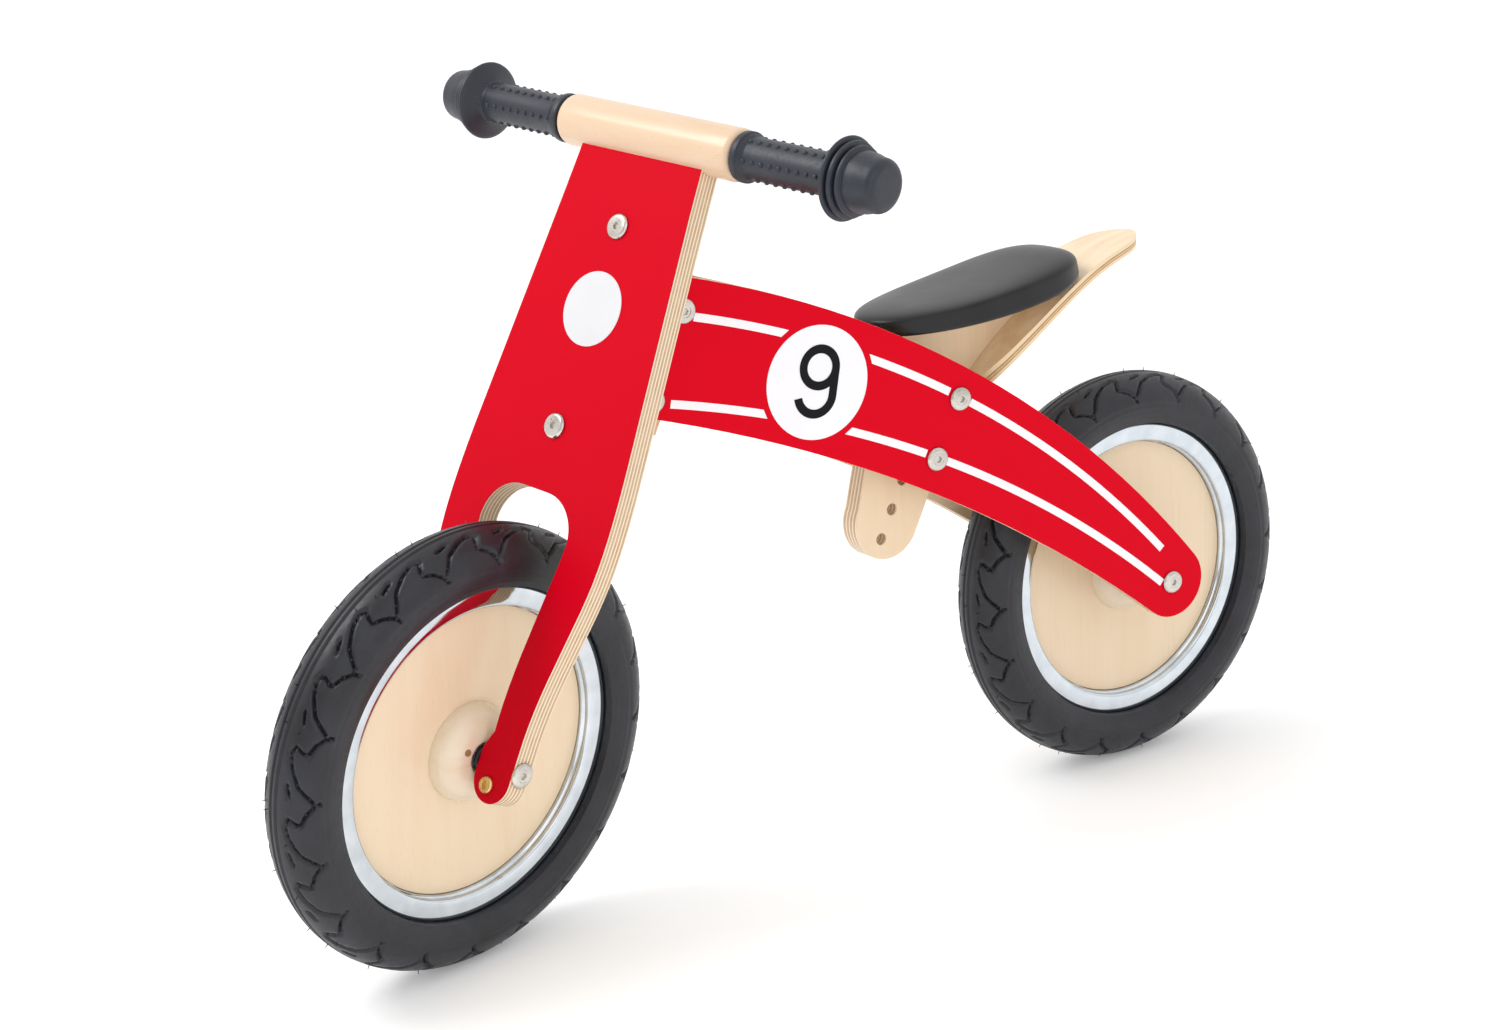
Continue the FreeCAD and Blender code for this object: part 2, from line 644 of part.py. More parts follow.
bushLength = 14.0
bush = doc.addObject("Part::Feature", "BushMaster")
outerBush = Part.makeCylinder(size("pinRadius") + size("bushWall"), bushLength)
innerBush = Part.makeCylinder(size("pinRadius") + size("runningGap"), bushLength)
bush.Shape = outerBush.cut(innerBush)
copies("steering_bushes", bush, [
    headPlace * Placement(Vector(0, 0, lowFace), Rotation()),
    headPlace * Placement(Vector(0, 0, highFace - bushLength), Rotation())])


# ---- seat post, tail and seat -------------------------------------------------------------

def panelPoint(u, v, inward):
    # a place on the middle plane that a bolt through the panel aims at
    place = panelPlaces[1] * Placement(Vector(u, -inward, v), Rotation())
    return place.Base


upperAim = panelPoint(upperSeatBolt[0], upperSeatBolt[1], (panelPlaces[1].multVec(
    Vector(upperSeatBolt[0], 0, upperSeatBolt[1])).y) / math.cos(PANEL_TURN))
DOWN = Vector(math.sin(LEAN), 0, -math.cos(LEAN))
ACROSS = Vector(math.cos(LEAN), 0, math.sin(LEAN))

TAIL_FOOT = Vector(-128.0, 0, 315.5)      # the lowest point of the tail board's upper face
TAIL_START = math.radians(size("tailFootAngle"))
TAIL_BEND = size("tailBend")
tailCentre = TAIL_FOOT + Vector(-math.sin(TAIL_START), 0, -math.cos(TAIL_START)) * TAIL_BEND


def onTail(distance, depth=0.0):
    # a place on the tail board's upper face, or depth below it, at a distance up from its foot
    angle = TAIL_START - distance / TAIL_BEND
    reach = TAIL_BEND - depth
    return tailCentre + Vector(math.sin(angle), 0, math.cos(angle)) * reach


SEAT_LEAN = math.radians(size("seatLean"))
SEAT_BACK = Vector(-math.cos(SEAT_LEAN), 0, math.sin(SEAT_LEAN))
SEAT_UP = Vector(math.sin(SEAT_LEAN), 0, math.cos(SEAT_LEAN))
SEAT_NOSE = Vector(-50.5, 0, 359.4)       # underside of the seat board at its nose
POST_TOP = (16.0, 112.0)                  # where the post meets the seat board, back from the nose
POST_ON_TAIL = (72.0, -0.5)               # how far up the tail board the post reaches


def postOutline():
    half = size("postHalf")
    foot = upperAim + DOWN * (5 * size("holePitch") - 13)
    footEnd = foot + DOWN * half
    frontLow = foot + ACROSS * half
    rearLow = foot - ACROSS * half
    frontTop = SEAT_NOSE + SEAT_BACK * POST_TOP[0] - SEAT_UP * 0.1
    rearTop = SEAT_NOSE + SEAT_BACK * POST_TOP[1] - SEAT_UP * 0.1
    tailTop = onTail(POST_ON_TAIL[0], -0.2)
    tailLow = onTail(POST_ON_TAIL[1], -0.2)
    tailMiddle = onTail(sum(POST_ON_TAIL) / 2, -0.2)
    waist = upperAim - ACROSS * half + DOWN * 2
    corners = [(p.x, p.z) for p in (frontLow, frontTop, rearTop, tailTop)]
    rest = [(p.x, p.z) for p in (tailLow, waist, rearLow)]
    return (chain(*corners)
            + [("arc", (corners[-1], (tailMiddle.x, tailMiddle.z), rest[0]))]
            + chain(*rest)
            + [("arc", (rest[-1], (footEnd.x, footEnd.z), corners[0]))])


post = board("seat_post", "XZ_Plane", postOutline(), "Sheet.postThickness", midplane=True)
holes = [upperAim + DOWN * (size("holePitch") * number) for number in range(6)]
cutThrough(post, addCircles(post, "PostHoles", "XZ_Plane", [(p.x, p.z) for p in holes], "postHole"))
keep(post, "seat_post")

nut = ring("SeatNut", 3.7, size("postHole") - 0.1, -7.8, 7.8)
copies("seat_nuts", nut, [Placement(holes[0], Rotation()), Placement(holes[2], Rotation())])

# round spacers carry the post between the panels, their outer ends cut to the panels' slant
spacerSolids = []
for side in (1, -1):
    for number, (u, v) in zip((0, 2), PANEL_BOLTS[:2]):
        centre = holes[number]
        start = centre + Vector(0, side * (size("postThickness") / 2 + 0.1), 0)
        tube = Part.makeCylinder(size("spacerRadius"), 60, start, Vector(0, side, 0))
        inner = panelPlaces[side] * Placement(Vector(0, -side * size("panelThickness"), 0), Rotation())
        wall = Part.makeBox(600, 100, 500, Vector(-100, 0 if side > 0 else -100, -100))
        wall.Placement = inner * Placement(Vector(0, -side * 0.1, 0), Rotation())
        hole = Part.makeCylinder(size("boltShank") + 0.1, 60, Vector(), Vector(0, 0, 1))
        hole.Placement = panelPlaces[side] * Placement(Vector(u, 0, v), facingOut(-side))
        spacerSolids.append(tube.cut(wall).cut(hole))
spacers = doc.addObject("Part::Feature", "post_spacers")
spacers.Shape = Part.makeCompound(spacerSolids)
keep(spacers, "post_spacers")


def smoothLoop(points):
    loop = Part.BSplineCurve()
    loop.interpolate(points, PeriodicFlag=True)
    return Part.Wire([loop.toShape()])


# half widths of the tail's leaf outline at distances up from its foot
TAIL_LEAF = [(0, 15), (12, 24), (35, 33), (70, 36.5), (112, 32.5), (150, 26.5), (176, 20)]


def buildTail():
    thickness = size("tailThickness")
    length = size("tailLength")
    # the leaf is cut from a bent sheet by a prism that follows its outline
    arcOut = Part.Arc(onTail(0), onTail(length / 2), onTail(length)).toShape()
    arcIn = Part.Arc(onTail(length, thickness), onTail(length / 2, thickness),
                     onTail(0, thickness)).toShape()
    ends = [Part.makeLine(onTail(length), onTail(length, thickness)),
            Part.makeLine(onTail(0, thickness), onTail(0))]
    section = Part.Face(Part.Wire([arcOut, ends[0], arcIn, ends[1]]))
    section.translate(Vector(0, -60, 0))
    sheetSolid = section.extrude(Vector(0, 120, 0))
    left = [Vector(onTail(distance).x, half, 0) for distance, half in TAIL_LEAF]
    foot = Vector(onTail(0).x + 6, 0, 0)
    tip = Vector(onTail(length - 0.5).x, 0, 0)
    tipSide = Vector(onTail(length - 5).x, 11.0, 0)
    points = [foot] + left + [tipSide, tip]
    mirrored = [Vector(p.x, -p.y, 0) for p in reversed(points[1:-1])]
    outline = smoothLoop(points + mirrored)
    prism = Part.Face(outline).extrude(Vector(0, 0, 600))
    return sheetSolid.common(prism)


tail = doc.addObject("Part::Feature", "tail_board")
tail.Shape = buildTail()
keep(tail, "tail_board")


def seatHalfWidth(share, width):
    # pear shape: a slim round nose and a broad rounded rear
    swell = 0.80 + 0.20 * math.sin(math.pi * (share - 0.15)) if share > 0.15 else 0.80
    return width / 2 * math.sqrt(max(0.0, 1 - (2 * share - 1) ** 2)) ** 0.8 * swell


def seatLoop(length, width, start):
    shares = [0.0, 0.03, 0.12, 0.28, 0.45, 0.62, 0.78, 0.9, 0.975, 1.0]
    left = [Vector(start + length * s, seatHalfWidth(s, width), 0) for s in shares]
    right = [Vector(p.x, -p.y, 0) for p in reversed(left[1:-1])]
    return left + right


def seatPlate(name, length, width, start, height):
    plate = doc.addObject("Part::Feature", name)
    plate.Shape = Part.Face(smoothLoop(seatLoop(length, width, start))).extrude(Vector(0, 0, height))
    return plate


# local seat axes: X runs back from the nose along the board, Z away from it
seatPlace = Placement(SEAT_NOSE, Rotation(SEAT_BACK, Vector(0, -1, 0), SEAT_UP, "XYZ"))
inset = size("seatInset")
boardItem = seatPlate("seat_board", size("seatLength") - 2 * inset, size("seatWidth") - 2 * inset,
                      inset, size("seatBoard"))
keep(boardItem, "seat_board", seatPlace)
cushionItem = seatPlate("seat_cushion", size("seatLength"), size("seatWidth"), 0.0, size("seatFoam"))
onBoard = Placement(Vector(0, 0, size("seatBoard") + 0.3), Rotation())
keep(cushionItem, "seat_cushion", seatPlace * onBoard)

# ---- checks and files ---------------------------------------------------------------------

doc.recompute()
for obj in doc.Objects:
    if "Invalid" in obj.State or "Error" in obj.State:
        raise RuntimeError(f"{obj.Label} failed: {obj.State}")
for obj in subParts:
    if obj.Shape.isNull() or not obj.Shape.isValid() or not obj.Shape.Solids:
        raise RuntimeError(f"{obj.Label} has no sound solid")

os.makedirs("parts", exist_ok=True)
for obj in subParts:
    obj.Shape.exportStep(f"parts/{obj.Label}.step")
    box = obj.Shape.BoundBox
    print(f"{obj.Label}: {len(obj.Shape.Solids)} solid(s), {obj.Shape.Volume / 1000:.1f} cm3, "
          f"x {box.XMin:.0f}..{box.XMax:.0f} y {box.YMin:.0f}..{box.YMax:.0f} "
          f"z {box.ZMin:.0f}..{box.ZMax:.0f}")
print(len(subParts), "sub-parts")
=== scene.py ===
import bmesh
import bpy
import json
import math
from mathutils import Matrix, Vector


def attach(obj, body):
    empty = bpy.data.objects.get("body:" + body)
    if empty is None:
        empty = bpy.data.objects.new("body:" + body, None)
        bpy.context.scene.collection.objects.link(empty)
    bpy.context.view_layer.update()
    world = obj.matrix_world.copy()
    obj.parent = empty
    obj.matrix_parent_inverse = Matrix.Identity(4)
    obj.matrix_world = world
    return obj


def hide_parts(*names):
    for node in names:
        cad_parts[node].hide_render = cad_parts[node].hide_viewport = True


# Wooden balance bike: finishes, bolts, tyres, grips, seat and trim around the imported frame.
# Lengths inside the dictionaries are millimetres, everything that is built is metres.

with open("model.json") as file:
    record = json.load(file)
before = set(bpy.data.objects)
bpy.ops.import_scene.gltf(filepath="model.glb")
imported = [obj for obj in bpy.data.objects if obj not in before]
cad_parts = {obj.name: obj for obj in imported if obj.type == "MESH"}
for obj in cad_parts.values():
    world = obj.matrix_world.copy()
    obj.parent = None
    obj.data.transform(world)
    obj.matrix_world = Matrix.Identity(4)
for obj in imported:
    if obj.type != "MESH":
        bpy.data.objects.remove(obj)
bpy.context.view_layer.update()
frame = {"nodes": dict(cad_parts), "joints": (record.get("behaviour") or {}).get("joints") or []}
nodes = frame["nodes"]
joints = {joint["name"]: joint for joint in frame["joints"]}
mm = 0.001


# where things are -------------------------------------------------------------

def basisAt(origin, ahead, left, up):
    place = Matrix((ahead, left, up)).transposed().to_4x4()
    place.translation = origin
    return place


steerAxis = Vector(joints["steering"]["axis"]).normalized()
steerPoint = Vector(joints["steering"]["pos_m"])
frontAxle = Vector(joints["front_wheel_spin"]["axis"]).normalized()
frontCentre = Vector(joints["front_wheel_spin"]["pos_m"])
rearCentre = Vector(joints["rear_wheel_spin"]["pos_m"])

forkPlace = basisAt(frontCentre, frontAxle.cross(steerAxis), frontAxle, steerAxis)
rearPlace = Matrix.Translation(rearCentre)

panelFacts = {"spread": 57.5, "turn": 5.1, "thickness": 9.0}


def panelPlace(side):
    # origin on the outer face beside the rear axle, Y out of the bike, X towards the head
    turn = Matrix.Rotation(math.radians(-side * panelFacts["turn"]), 4, "Z")
    return Matrix.Translation(rearCentre + Vector((0, side * panelFacts["spread"] * mm, 0))) @ turn


def headPoint(up, behind):
    # a bolt place on the head, given along the panel's own face
    behindHead = Vector((steerAxis.z, 0, -steerAxis.x)) * (behind * mm)
    spot = steerPoint + steerAxis * (up * mm) - behindHead - rearCentre
    return (spot.x / math.cos(math.radians(panelFacts["turn"])) / mm, spot.z / mm)


# finishes ---------------------------------------------------------------------

def between(first, second):
    return tuple(0.5 * (a + b) for a, b in zip(first, second))


class Finish:
    # one material and short ways to add and join its nodes
    def __init__(self, name):
        self.material = bpy.data.materials.new(name)
        self.material.use_nodes = True
        self.tree = self.material.node_tree
        self.shader = self.tree.nodes["Principled BSDF"]
        self.place = self.add("ShaderNodeTexCoord").outputs["Object"]

    def add(self, kind, settings=None, inputs=None):
        node = self.tree.nodes.new(kind)
        for key, value in (settings or {}).items():
            setattr(node, key, value)
        for key, value in (inputs or {}).items():
            if isinstance(value, bpy.types.NodeSocket):
                self.tree.links.new(value, node.inputs[key])
            else:
                node.inputs[key].default_value = value
        return node

    def math(self, operation, first, second=0.0):
        return self.add("ShaderNodeMath", {"operation": operation}, {0: first, 1: second}).outputs[0]

    def stretched(self, scale):
        return self.add("ShaderNodeMapping", None, {"Vector": self.place, "Scale": scale}).outputs[0]

    def noise(self, scale, detail=3.0, roughness=0.5, place=None, distortion=0.0):
        return self.add("ShaderNodeTexNoise", None,
                        {"Vector": place or self.place, "Scale": scale, "Detail": detail,
                         "Roughness": roughness, "Distortion": distortion}).outputs[0]

    def ramp(self, value, *stops):
        node = self.add("ShaderNodeValToRGB", None, {"Fac": value})
        elements = node.color_ramp.elements
        elements[0].position, elements[0].color = stops[0][0], (*stops[0][1], 1)
        elements[1].position, elements[1].color = stops[-1][0], (*stops[-1][1], 1)
        for position, colour in stops[1:-1]:
            elements.new(position).color = (*colour, 1)
        return node.outputs[0]

    def span(self, value, low, high, newLow, newHigh):
        return self.add("ShaderNodeMapRange", None,
                        {"Value": value, "From Min": low, "From Max": high, "To Min": newLow,
                         "To Max": newHigh}).outputs[0]

    def mix(self, share, first, second):
        node = self.add("ShaderNodeMix", {"data_type": "RGBA"})
        for socket, value in ((node.inputs[0], share), (node.inputs[6], first), (node.inputs[7], second)):
            if isinstance(value, bpy.types.NodeSocket):
                self.tree.links.new(value, socket)
            else:
                socket.default_value = value if isinstance(value, float) else (*value, 1)
        return node.outputs[2]

    def give(self, **values):
        for key, value in values.items():
            socket = self.shader.inputs[key.replace("_", " ")]
            if isinstance(value, bpy.types.NodeSocket):
                self.tree.links.new(value, socket)
            elif isinstance(value, tuple):
                socket.default_value = (*value, 1)
            else:
                socket.default_value = value
        return self

    def bump(self, height, strength, distance):
        node = self.add("ShaderNodeBump", None,
                        {"Height": height, "Strength": strength, "Distance": distance})
        self.tree.links.new(node.outputs[0], self.shader.inputs["Normal"])
        return self


woodTones = {
    "veneerLight": (0.84, 0.665, 0.465), "veneerWarm": (0.79, 0.575, 0.365),
    "plyLight": (0.87, 0.71, 0.52), "plyDark": (0.66, 0.46, 0.29), "glue": (0.27, 0.14, 0.07),
    "tailLight": (0.84, 0.64, 0.41), "tailGold": (0.70, 0.43, 0.18),
    "beechLight": (0.70, 0.51, 0.345), "beechWarm": (0.66, 0.455, 0.29),
    "domeLight": (0.84, 0.71, 0.54), "domeWarm": (0.80, 0.64, 0.46),
    # the second red is the panels' red made darker, painted shade on the fork board's face
    "red": (0.68, 0.0006, 0.013), "redShadedFront": (0.57, 0.0004, 0.011),
}


def veneerColour(finish, grain, light, warm):
    # long soft figure plus fine pores, drawn along the grain
    axes = {"X": (2.2, 42, 42), "Y": (42, 2.2, 42), "Z": (42, 42, 2.2)}
    fine = {"X": (18, 900, 900), "Y": (900, 18, 900), "Z": (900, 900, 18)}
    figure = finish.noise(1.0, 4.0, 0.55, finish.stretched(axes[grain]), 0.6)
    cloud = finish.noise(9.0, 2.0, 0.5)
    pores = finish.noise(1.0, 2.0, 0.6, finish.stretched(fine[grain]))
    base = finish.ramp(figure, (0.30, warm), (0.52, light), (0.75, between(light, warm)))
    clouded = finish.mix(finish.span(cloud, 0.35, 0.75, 0.0, 0.35), base, light)
    porous = finish.mix(finish.span(pores, 0.60, 0.80, 0.0, 0.30), clouded, tuple(0.72 * v for v in warm))
    return porous, pores


def plywood(name, depth, pairs, grain, faceColour=None, gloss=0.38, warmToneScale=1.0,
            tones=("plyLight", "plyDark")):
    # depth runs from 0 on the front face to 1 on the back; every pair is a broad and a narrow ply
    finish = Finish(name)
    value = depth(finish)
    # the warm veneer tone is multiplied by the given scale; below 1 it darkens the faces
    face, pores = veneerColour(finish, grain, woodTones["veneerLight"],
                               tuple(v * warmToneScale for v in woodTones["veneerWarm"]))
    wobble = finish.span(finish.noise(25.0, 2.0), 0.3, 0.7, -0.015, 0.015)
    count = finish.math("ADD", finish.math("MULTIPLY", value, float(pairs)), wobble)
    light, dark, glue = (woodTones[tone] for tone in (*tones, "glue"))
    streak = finish.span(finish.noise(150.0, 3.0), 0.3, 0.7, 0.0, 0.35)
    layers = finish.ramp(finish.math("FRACT", count), (0.0, light), (0.50, light), (0.52, glue),
                         (0.65, glue), (0.67, dark), (0.87, dark), (0.89, glue), (0.98, glue), (1.0, light))
    edge = finish.mix(streak, layers, tuple(0.88 * v for v in light))
    outward = finish.math("ABSOLUTE", finish.math("SUBTRACT", value, 0.5))
    wood = finish.mix(finish.math("GREATER_THAN", outward, 0.485), edge, face)
    roughness = finish.span(pores, 0.4, 0.8, gloss, gloss + 0.12)
    if faceColour:
        film = finish.math("LESS_THAN", value, 0.018)
        mottle = finish.span(finish.noise(35.0, 2.0), 0.3, 0.7, 0.0, 0.25)
        paint = finish.mix(mottle, faceColour, tuple(v * 0.95 for v in faceColour))
        wood = finish.mix(film, wood, paint)
        smooth = finish.span(finish.noise(700.0, 2.0), 0.3, 0.7, 0.33, 0.40)
        roughness = finish.add("ShaderNodeMix", None, {0: film, 2: roughness, 3: smooth}).outputs[0]
    finish.give(Base_Color=wood, Roughness=roughness, Specular_IOR_Level=0.05 if faceColour else 0.4)
    return finish.bump(pores, 0.06, 0.0002).material


def straightDepth(start, across, thickness):
    across = Vector(across).normalized()

    def build(finish):
        along = finish.add("ShaderNodeVectorMath", {"operation": "DOT_PRODUCT"},
                           {0: finish.place, 1: tuple(across)}).outputs["Value"]
        offset = Vector(start).dot(across)
        return finish.math("DIVIDE", finish.math("SUBTRACT", offset, along), thickness)
    return build


def bentDepth(centre, radius, thickness):
    def build(finish):
        flat = finish.add("ShaderNodeVectorMath", {"operation": "MULTIPLY"},
                          {0: finish.place, 1: (1, 0, 1)}).outputs[0]
        reach = finish.add("ShaderNodeVectorMath", {"operation": "DISTANCE"},
                           {0: flat, 1: (centre.x, 0, centre.z)}).outputs["Value"]
        return finish.math("DIVIDE", finish.math("SUBTRACT", radius, reach), thickness)
    return build


def turnedWood(name, light, warm, grain, gloss):
    finish = Finish(name)
    colour, pores = veneerColour(finish, grain, light, warm)
    finish.give(Base_Color=colour, Roughness=finish.span(pores, 0.4, 0.8, gloss, gloss + 0.1),
                Coat_Weight=0.3, Coat_Roughness=0.15)
    return finish.bump(pores, 0.05, 0.0002).material


def rubber(name, dark, pale, roughness, grainScale):
    finish = Finish(name)
    cloud = finish.noise(45.0, 4.0, 0.6)
    grain = finish.noise(grainScale, 3.0, 0.6)
    finish.give(Base_Color=finish.ramp(cloud, (0.35, dark), (0.70, pale)),
                Roughness=finish.span(grain, 0.3, 0.7, roughness - 0.06, roughness + 0.08))
    return finish.bump(grain, 0.25, 0.0003).material


def metal(name, light, dark, roughness, scale=300.0):
    finish = Finish(name)
    cloud = finish.noise(70.0, 3.0)
    fine = finish.noise(scale, 3.0, 0.6)
    finish.give(Base_Color=finish.ramp(cloud, (0.30, dark), (0.65, light)), Metallic=1.0,
                Roughness=finish.span(fine, 0.3, 0.7, roughness * 0.7, roughness * 1.3))
    return finish.bump(fine, 0.04, 0.0002).material


def film(name, colour, roughness=0.35, metallic=0.0, specular=0.5):
    finish = Finish(name)
    cloud = finish.noise(30.0, 3.0)
    fine = finish.noise(600.0, 2.0)
    finish.give(Base_Color=finish.ramp(cloud, (0.3, tuple(v * 0.96 for v in colour)), (0.7, colour)),
                Roughness=finish.span(fine, 0.3, 0.7, roughness - 0.04, roughness + 0.05),
                Metallic=metallic, Specular_IOR_Level=specular)
    return finish.bump(fine, 0.03, 0.0001).material


def leather(name):
    finish = Finish(name)
    cells = finish.add("ShaderNodeTexVoronoi", {"feature": "SMOOTH_F1"},
                       {"Vector": finish.place, "Scale": 900.0}).outputs[0]
    soft = finish.noise(35.0, 3.0, 0.55)
    tones = ((0.35, (0.004, 0.004, 0.005)), (0.70, (0.008, 0.008, 0.010)))
    finish.give(Base_Color=finish.ramp(soft, *tones),
                Roughness=finish.span(soft, 0.3, 0.7, 0.30, 0.36), Specular_IOR_Level=0.38)
    return finish.bump(cells, 0.10, 0.0002).material


across = forkPlace.to_3x3() @ Vector((1, 0, 0))
finishes = {
    # the fork's red face takes the darkened red, painted shade
    "forkPly": plywood("fork_board_ply", straightDepth(forkPlace @ Vector((8 * mm, 0, 0)), across, 16 * mm),
                       5.4, "Z", woodTones["redShadedFront"], 0.42),
    "postPly": plywood("seat_post_ply", straightDepth((0, 8 * mm, 0), (0, 1, 0), 16 * mm), 4.4, "Z"),
    "discPly": turnedWood("wheel_disc_veneer", woodTones["veneerLight"],
                          between(woodTones["veneerLight"], woodTones["veneerWarm"]), "Z", 0.33),
    "beech": turnedWood("turned_beech_bar", woodTones["beechLight"], woodTones["beechWarm"], "Y", 0.28),
    "dome": turnedWood("turned_hub_beech", woodTones["domeLight"], woodTones["domeWarm"], "X", 0.22),
    "block": turnedWood("pivot_block_beech", woodTones["beechWarm"], (0.60, 0.40, 0.22), "Z", 0.42),
    "tyre": rubber("tyre_rubber_black", (0.006, 0.006, 0.009), (0.014, 0.015, 0.023), 0.40, 260.0),
    "grip": rubber("grip_rubber_slate", (0.011, 0.014, 0.023), (0.018, 0.022, 0.034), 0.42, 420.0),
    "tube": rubber("tube_rubber_grey", (0.03, 0.03, 0.03), (0.05, 0.05, 0.05), 0.6, 200.0),
    "plastic": rubber("washer_plastic_black", (0.010, 0.010, 0.012), (0.020, 0.020, 0.022), 0.35, 500.0),
    "chrome": metal("rim_chrome_plate", (0.66, 0.71, 0.75), (0.56, 0.61, 0.66), 0.09, 40.0),
    "nickel": metal("bolt_nickel_plate", (0.66, 0.63, 0.58), (0.45, 0.42, 0.38), 0.24),
    "brass": metal("bolt_brass_plate", (0.72, 0.50, 0.22), (0.55, 0.36, 0.14), 0.26),
    "steel": metal("bright_axle_steel", (0.70, 0.70, 0.71), (0.50, 0.50, 0.52), 0.28),
    "white": film("white_trim_film", (0.90, 0.895, 0.925), 0.32),
    "ink": film("black_number_film", (0.006, 0.006, 0.008), 0.5, 0.0, 0.12),
    "silver": film("silver_disc_film", (0.66, 0.66, 0.675), 0.42, 0.2),
    "leather": leather("seat_leather_black"),
    # dark brown film that paints the shade inside the hubs' pin holes
    "pin": film("pin_hole_painted_shade", (0.30, 0.16, 0.06), 0.6),
}
for side, word in ((1, "left"), (-1, "right")):
    outward = panelPlace(side).to_3x3() @ Vector((0, side, 0))
    # the panels' natural inner faces get their veneer darkened to 0.80, painted shade for faces that sit in
    # the gap between the panels
    finishes[word + "Panel"] = plywood(
        f"side_panel_{word}_ply",
        straightDepth(panelPlace(side).translation, outward, panelFacts["thickness"] * mm),
        2.6, "X", woodTones["red"], 0.42, 0.80)
print("finishes ready:", len(finishes))


# making pieces ----------------------------------------------------------------

def finishPiece(name, bm, body, finish, place=None, replaced=(), sharp=35, subdivide=0):
    bmesh.ops.remove_doubles(bm, verts=bm.verts, dist=2e-6)
    if place is not None:
        bm.transform(place)
    bmesh.ops.recalc_face_normals(bm, faces=bm.faces)
    mesh = bpy.data.meshes.new(name)
    bm.to_mesh(mesh)
    bm.free()
    mesh.materials.append(finishes[finish])
    mesh.shade_smooth()
    if sharp:
        mesh.set_sharp_from_angle(angle=math.radians(sharp))
    piece = bpy.data.objects.new(name, mesh)
    bpy.context.scene.collection.objects.link(piece)
    if subdivide:
        smooth = piece.modifiers.new("smooth", "SUBSURF")
        smooth.levels = subdivide
        smooth.render_levels = subdivide
    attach(piece, body)
    if replaced:
        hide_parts(*replaced)
    return piece


def spun(bm, profile, steps, closedLoop=False):
    # turns an outline of (radius, along the axle) about the Y axis
    verts = [bm.verts.new((r * mm, y * mm, 0)) for r, y in profile]
    edges = [bm.edges.new(pair) for pair in zip(verts[:-1], verts[1:])]
    if closedLoop:
        edges.append(bm.edges.new((verts[-1], verts[0])))
    bmesh.ops.spin(bm, geom=verts + edges, cent=(0, 0, 0), axis=(0, 1, 0), angle=math.tau,
                   steps=steps, use_merge=True)
    bmesh.ops.remove_doubles(bm, verts=bm.verts, dist=1e-6)


def arcPoints(centreR, centreY, radius, first, last, count):
    points = []
    for step in range(count + 1):
        angle = math.radians(first + (last - first) * step / count)
        points.append((centreR + radius * math.cos(angle), centreY + radius * math.sin(angle)))
    return points


def cadCopy(node, body, finish, bevel):
    # the CAD node's own shape with its flat faces joined and its edges eased
    bm = bmesh.new()
    bm.from_mesh(nodes[node].data)
    bmesh.ops.remove_doubles(bm, verts=bm.verts, dist=1e-5)
    bmesh.ops.dissolve_limit(bm, angle_limit=math.radians(1.0), verts=bm.verts, edges=bm.edges)
    corners = [e for e in bm.edges if len(e.link_faces) == 2 and e.calc_face_angle() > math.radians(40)]
    bmesh.ops.bevel(bm, geom=corners, offset=bevel * mm, offset_type="OFFSET", affect="EDGES", segments=2,
                    profile=0.5, material=-1, clamp_overlap=True)
    finishPiece(node + "_shaped", bm, body, finish, replaced=(node,), sharp=18)


# camera, floor and light ------------------------------------------------------

view = {"place": (0.9339, 1.3398, 0.7141), "yaw": -122.39, "pitch": -16.01, "roll": -3.07,
        "lens": 59.55, "shift": (0.0293, 0.0012)}


def makeCamera():
    yaw, pitch, roll = (math.radians(view[key]) for key in ("yaw", "pitch", "roll"))
    forward = Vector((math.cos(pitch) * math.cos(yaw), math.cos(pitch) * math.sin(yaw), math.sin(pitch)))
    right = forward.cross(Vector((0, 0, 1))).normalized()
    up = right.cross(forward)
    turnedRight = right * math.cos(roll) + up * math.sin(roll)
    turnedUp = up * math.cos(roll) - right * math.sin(roll)
    camera = bpy.data.objects.new("camera", bpy.data.cameras.new("camera"))
    camera.data.lens = view["lens"]
    camera.data.sensor_width = 36
    camera.data.shift_x, camera.data.shift_y = view["shift"]
    camera.data.clip_start, camera.data.clip_end = 0.05, 200
    camera.matrix_world = basisAt(Vector(view["place"]), turnedRight, turnedUp, -forward)
    bpy.context.scene.collection.objects.link(camera)
    bpy.context.scene.camera = camera


studio = {"floorHalf": 40.0, "floorTone": 0.93, "sky": 1.06, "front": 0.72, "glow": 0.16,
          "facing": (0.57, 0.82, 0.0), "keyPlace": (1.35, -0.55, 2.0), "fillPlace": (0.6, 2.4, 1.3),
          "keyPower": 20.0, "keySize": 1.1, "fillPower": 8.0, "fillSize": 2.0}


def areaLight(name, spot, aim, size, power):
    light = bpy.data.lights.new(name, "AREA")
    light.shape = "SQUARE"
    light.size = size
    light.energy = power
    lamp = bpy.data.objects.new(name, light)
    lamp.location = spot
    lamp.rotation_mode = "QUATERNION"
    lamp.rotation_quaternion = (Vector(aim) - Vector(spot)).to_track_quat("-Z", "Y")
    bpy.context.scene.collection.objects.link(lamp)


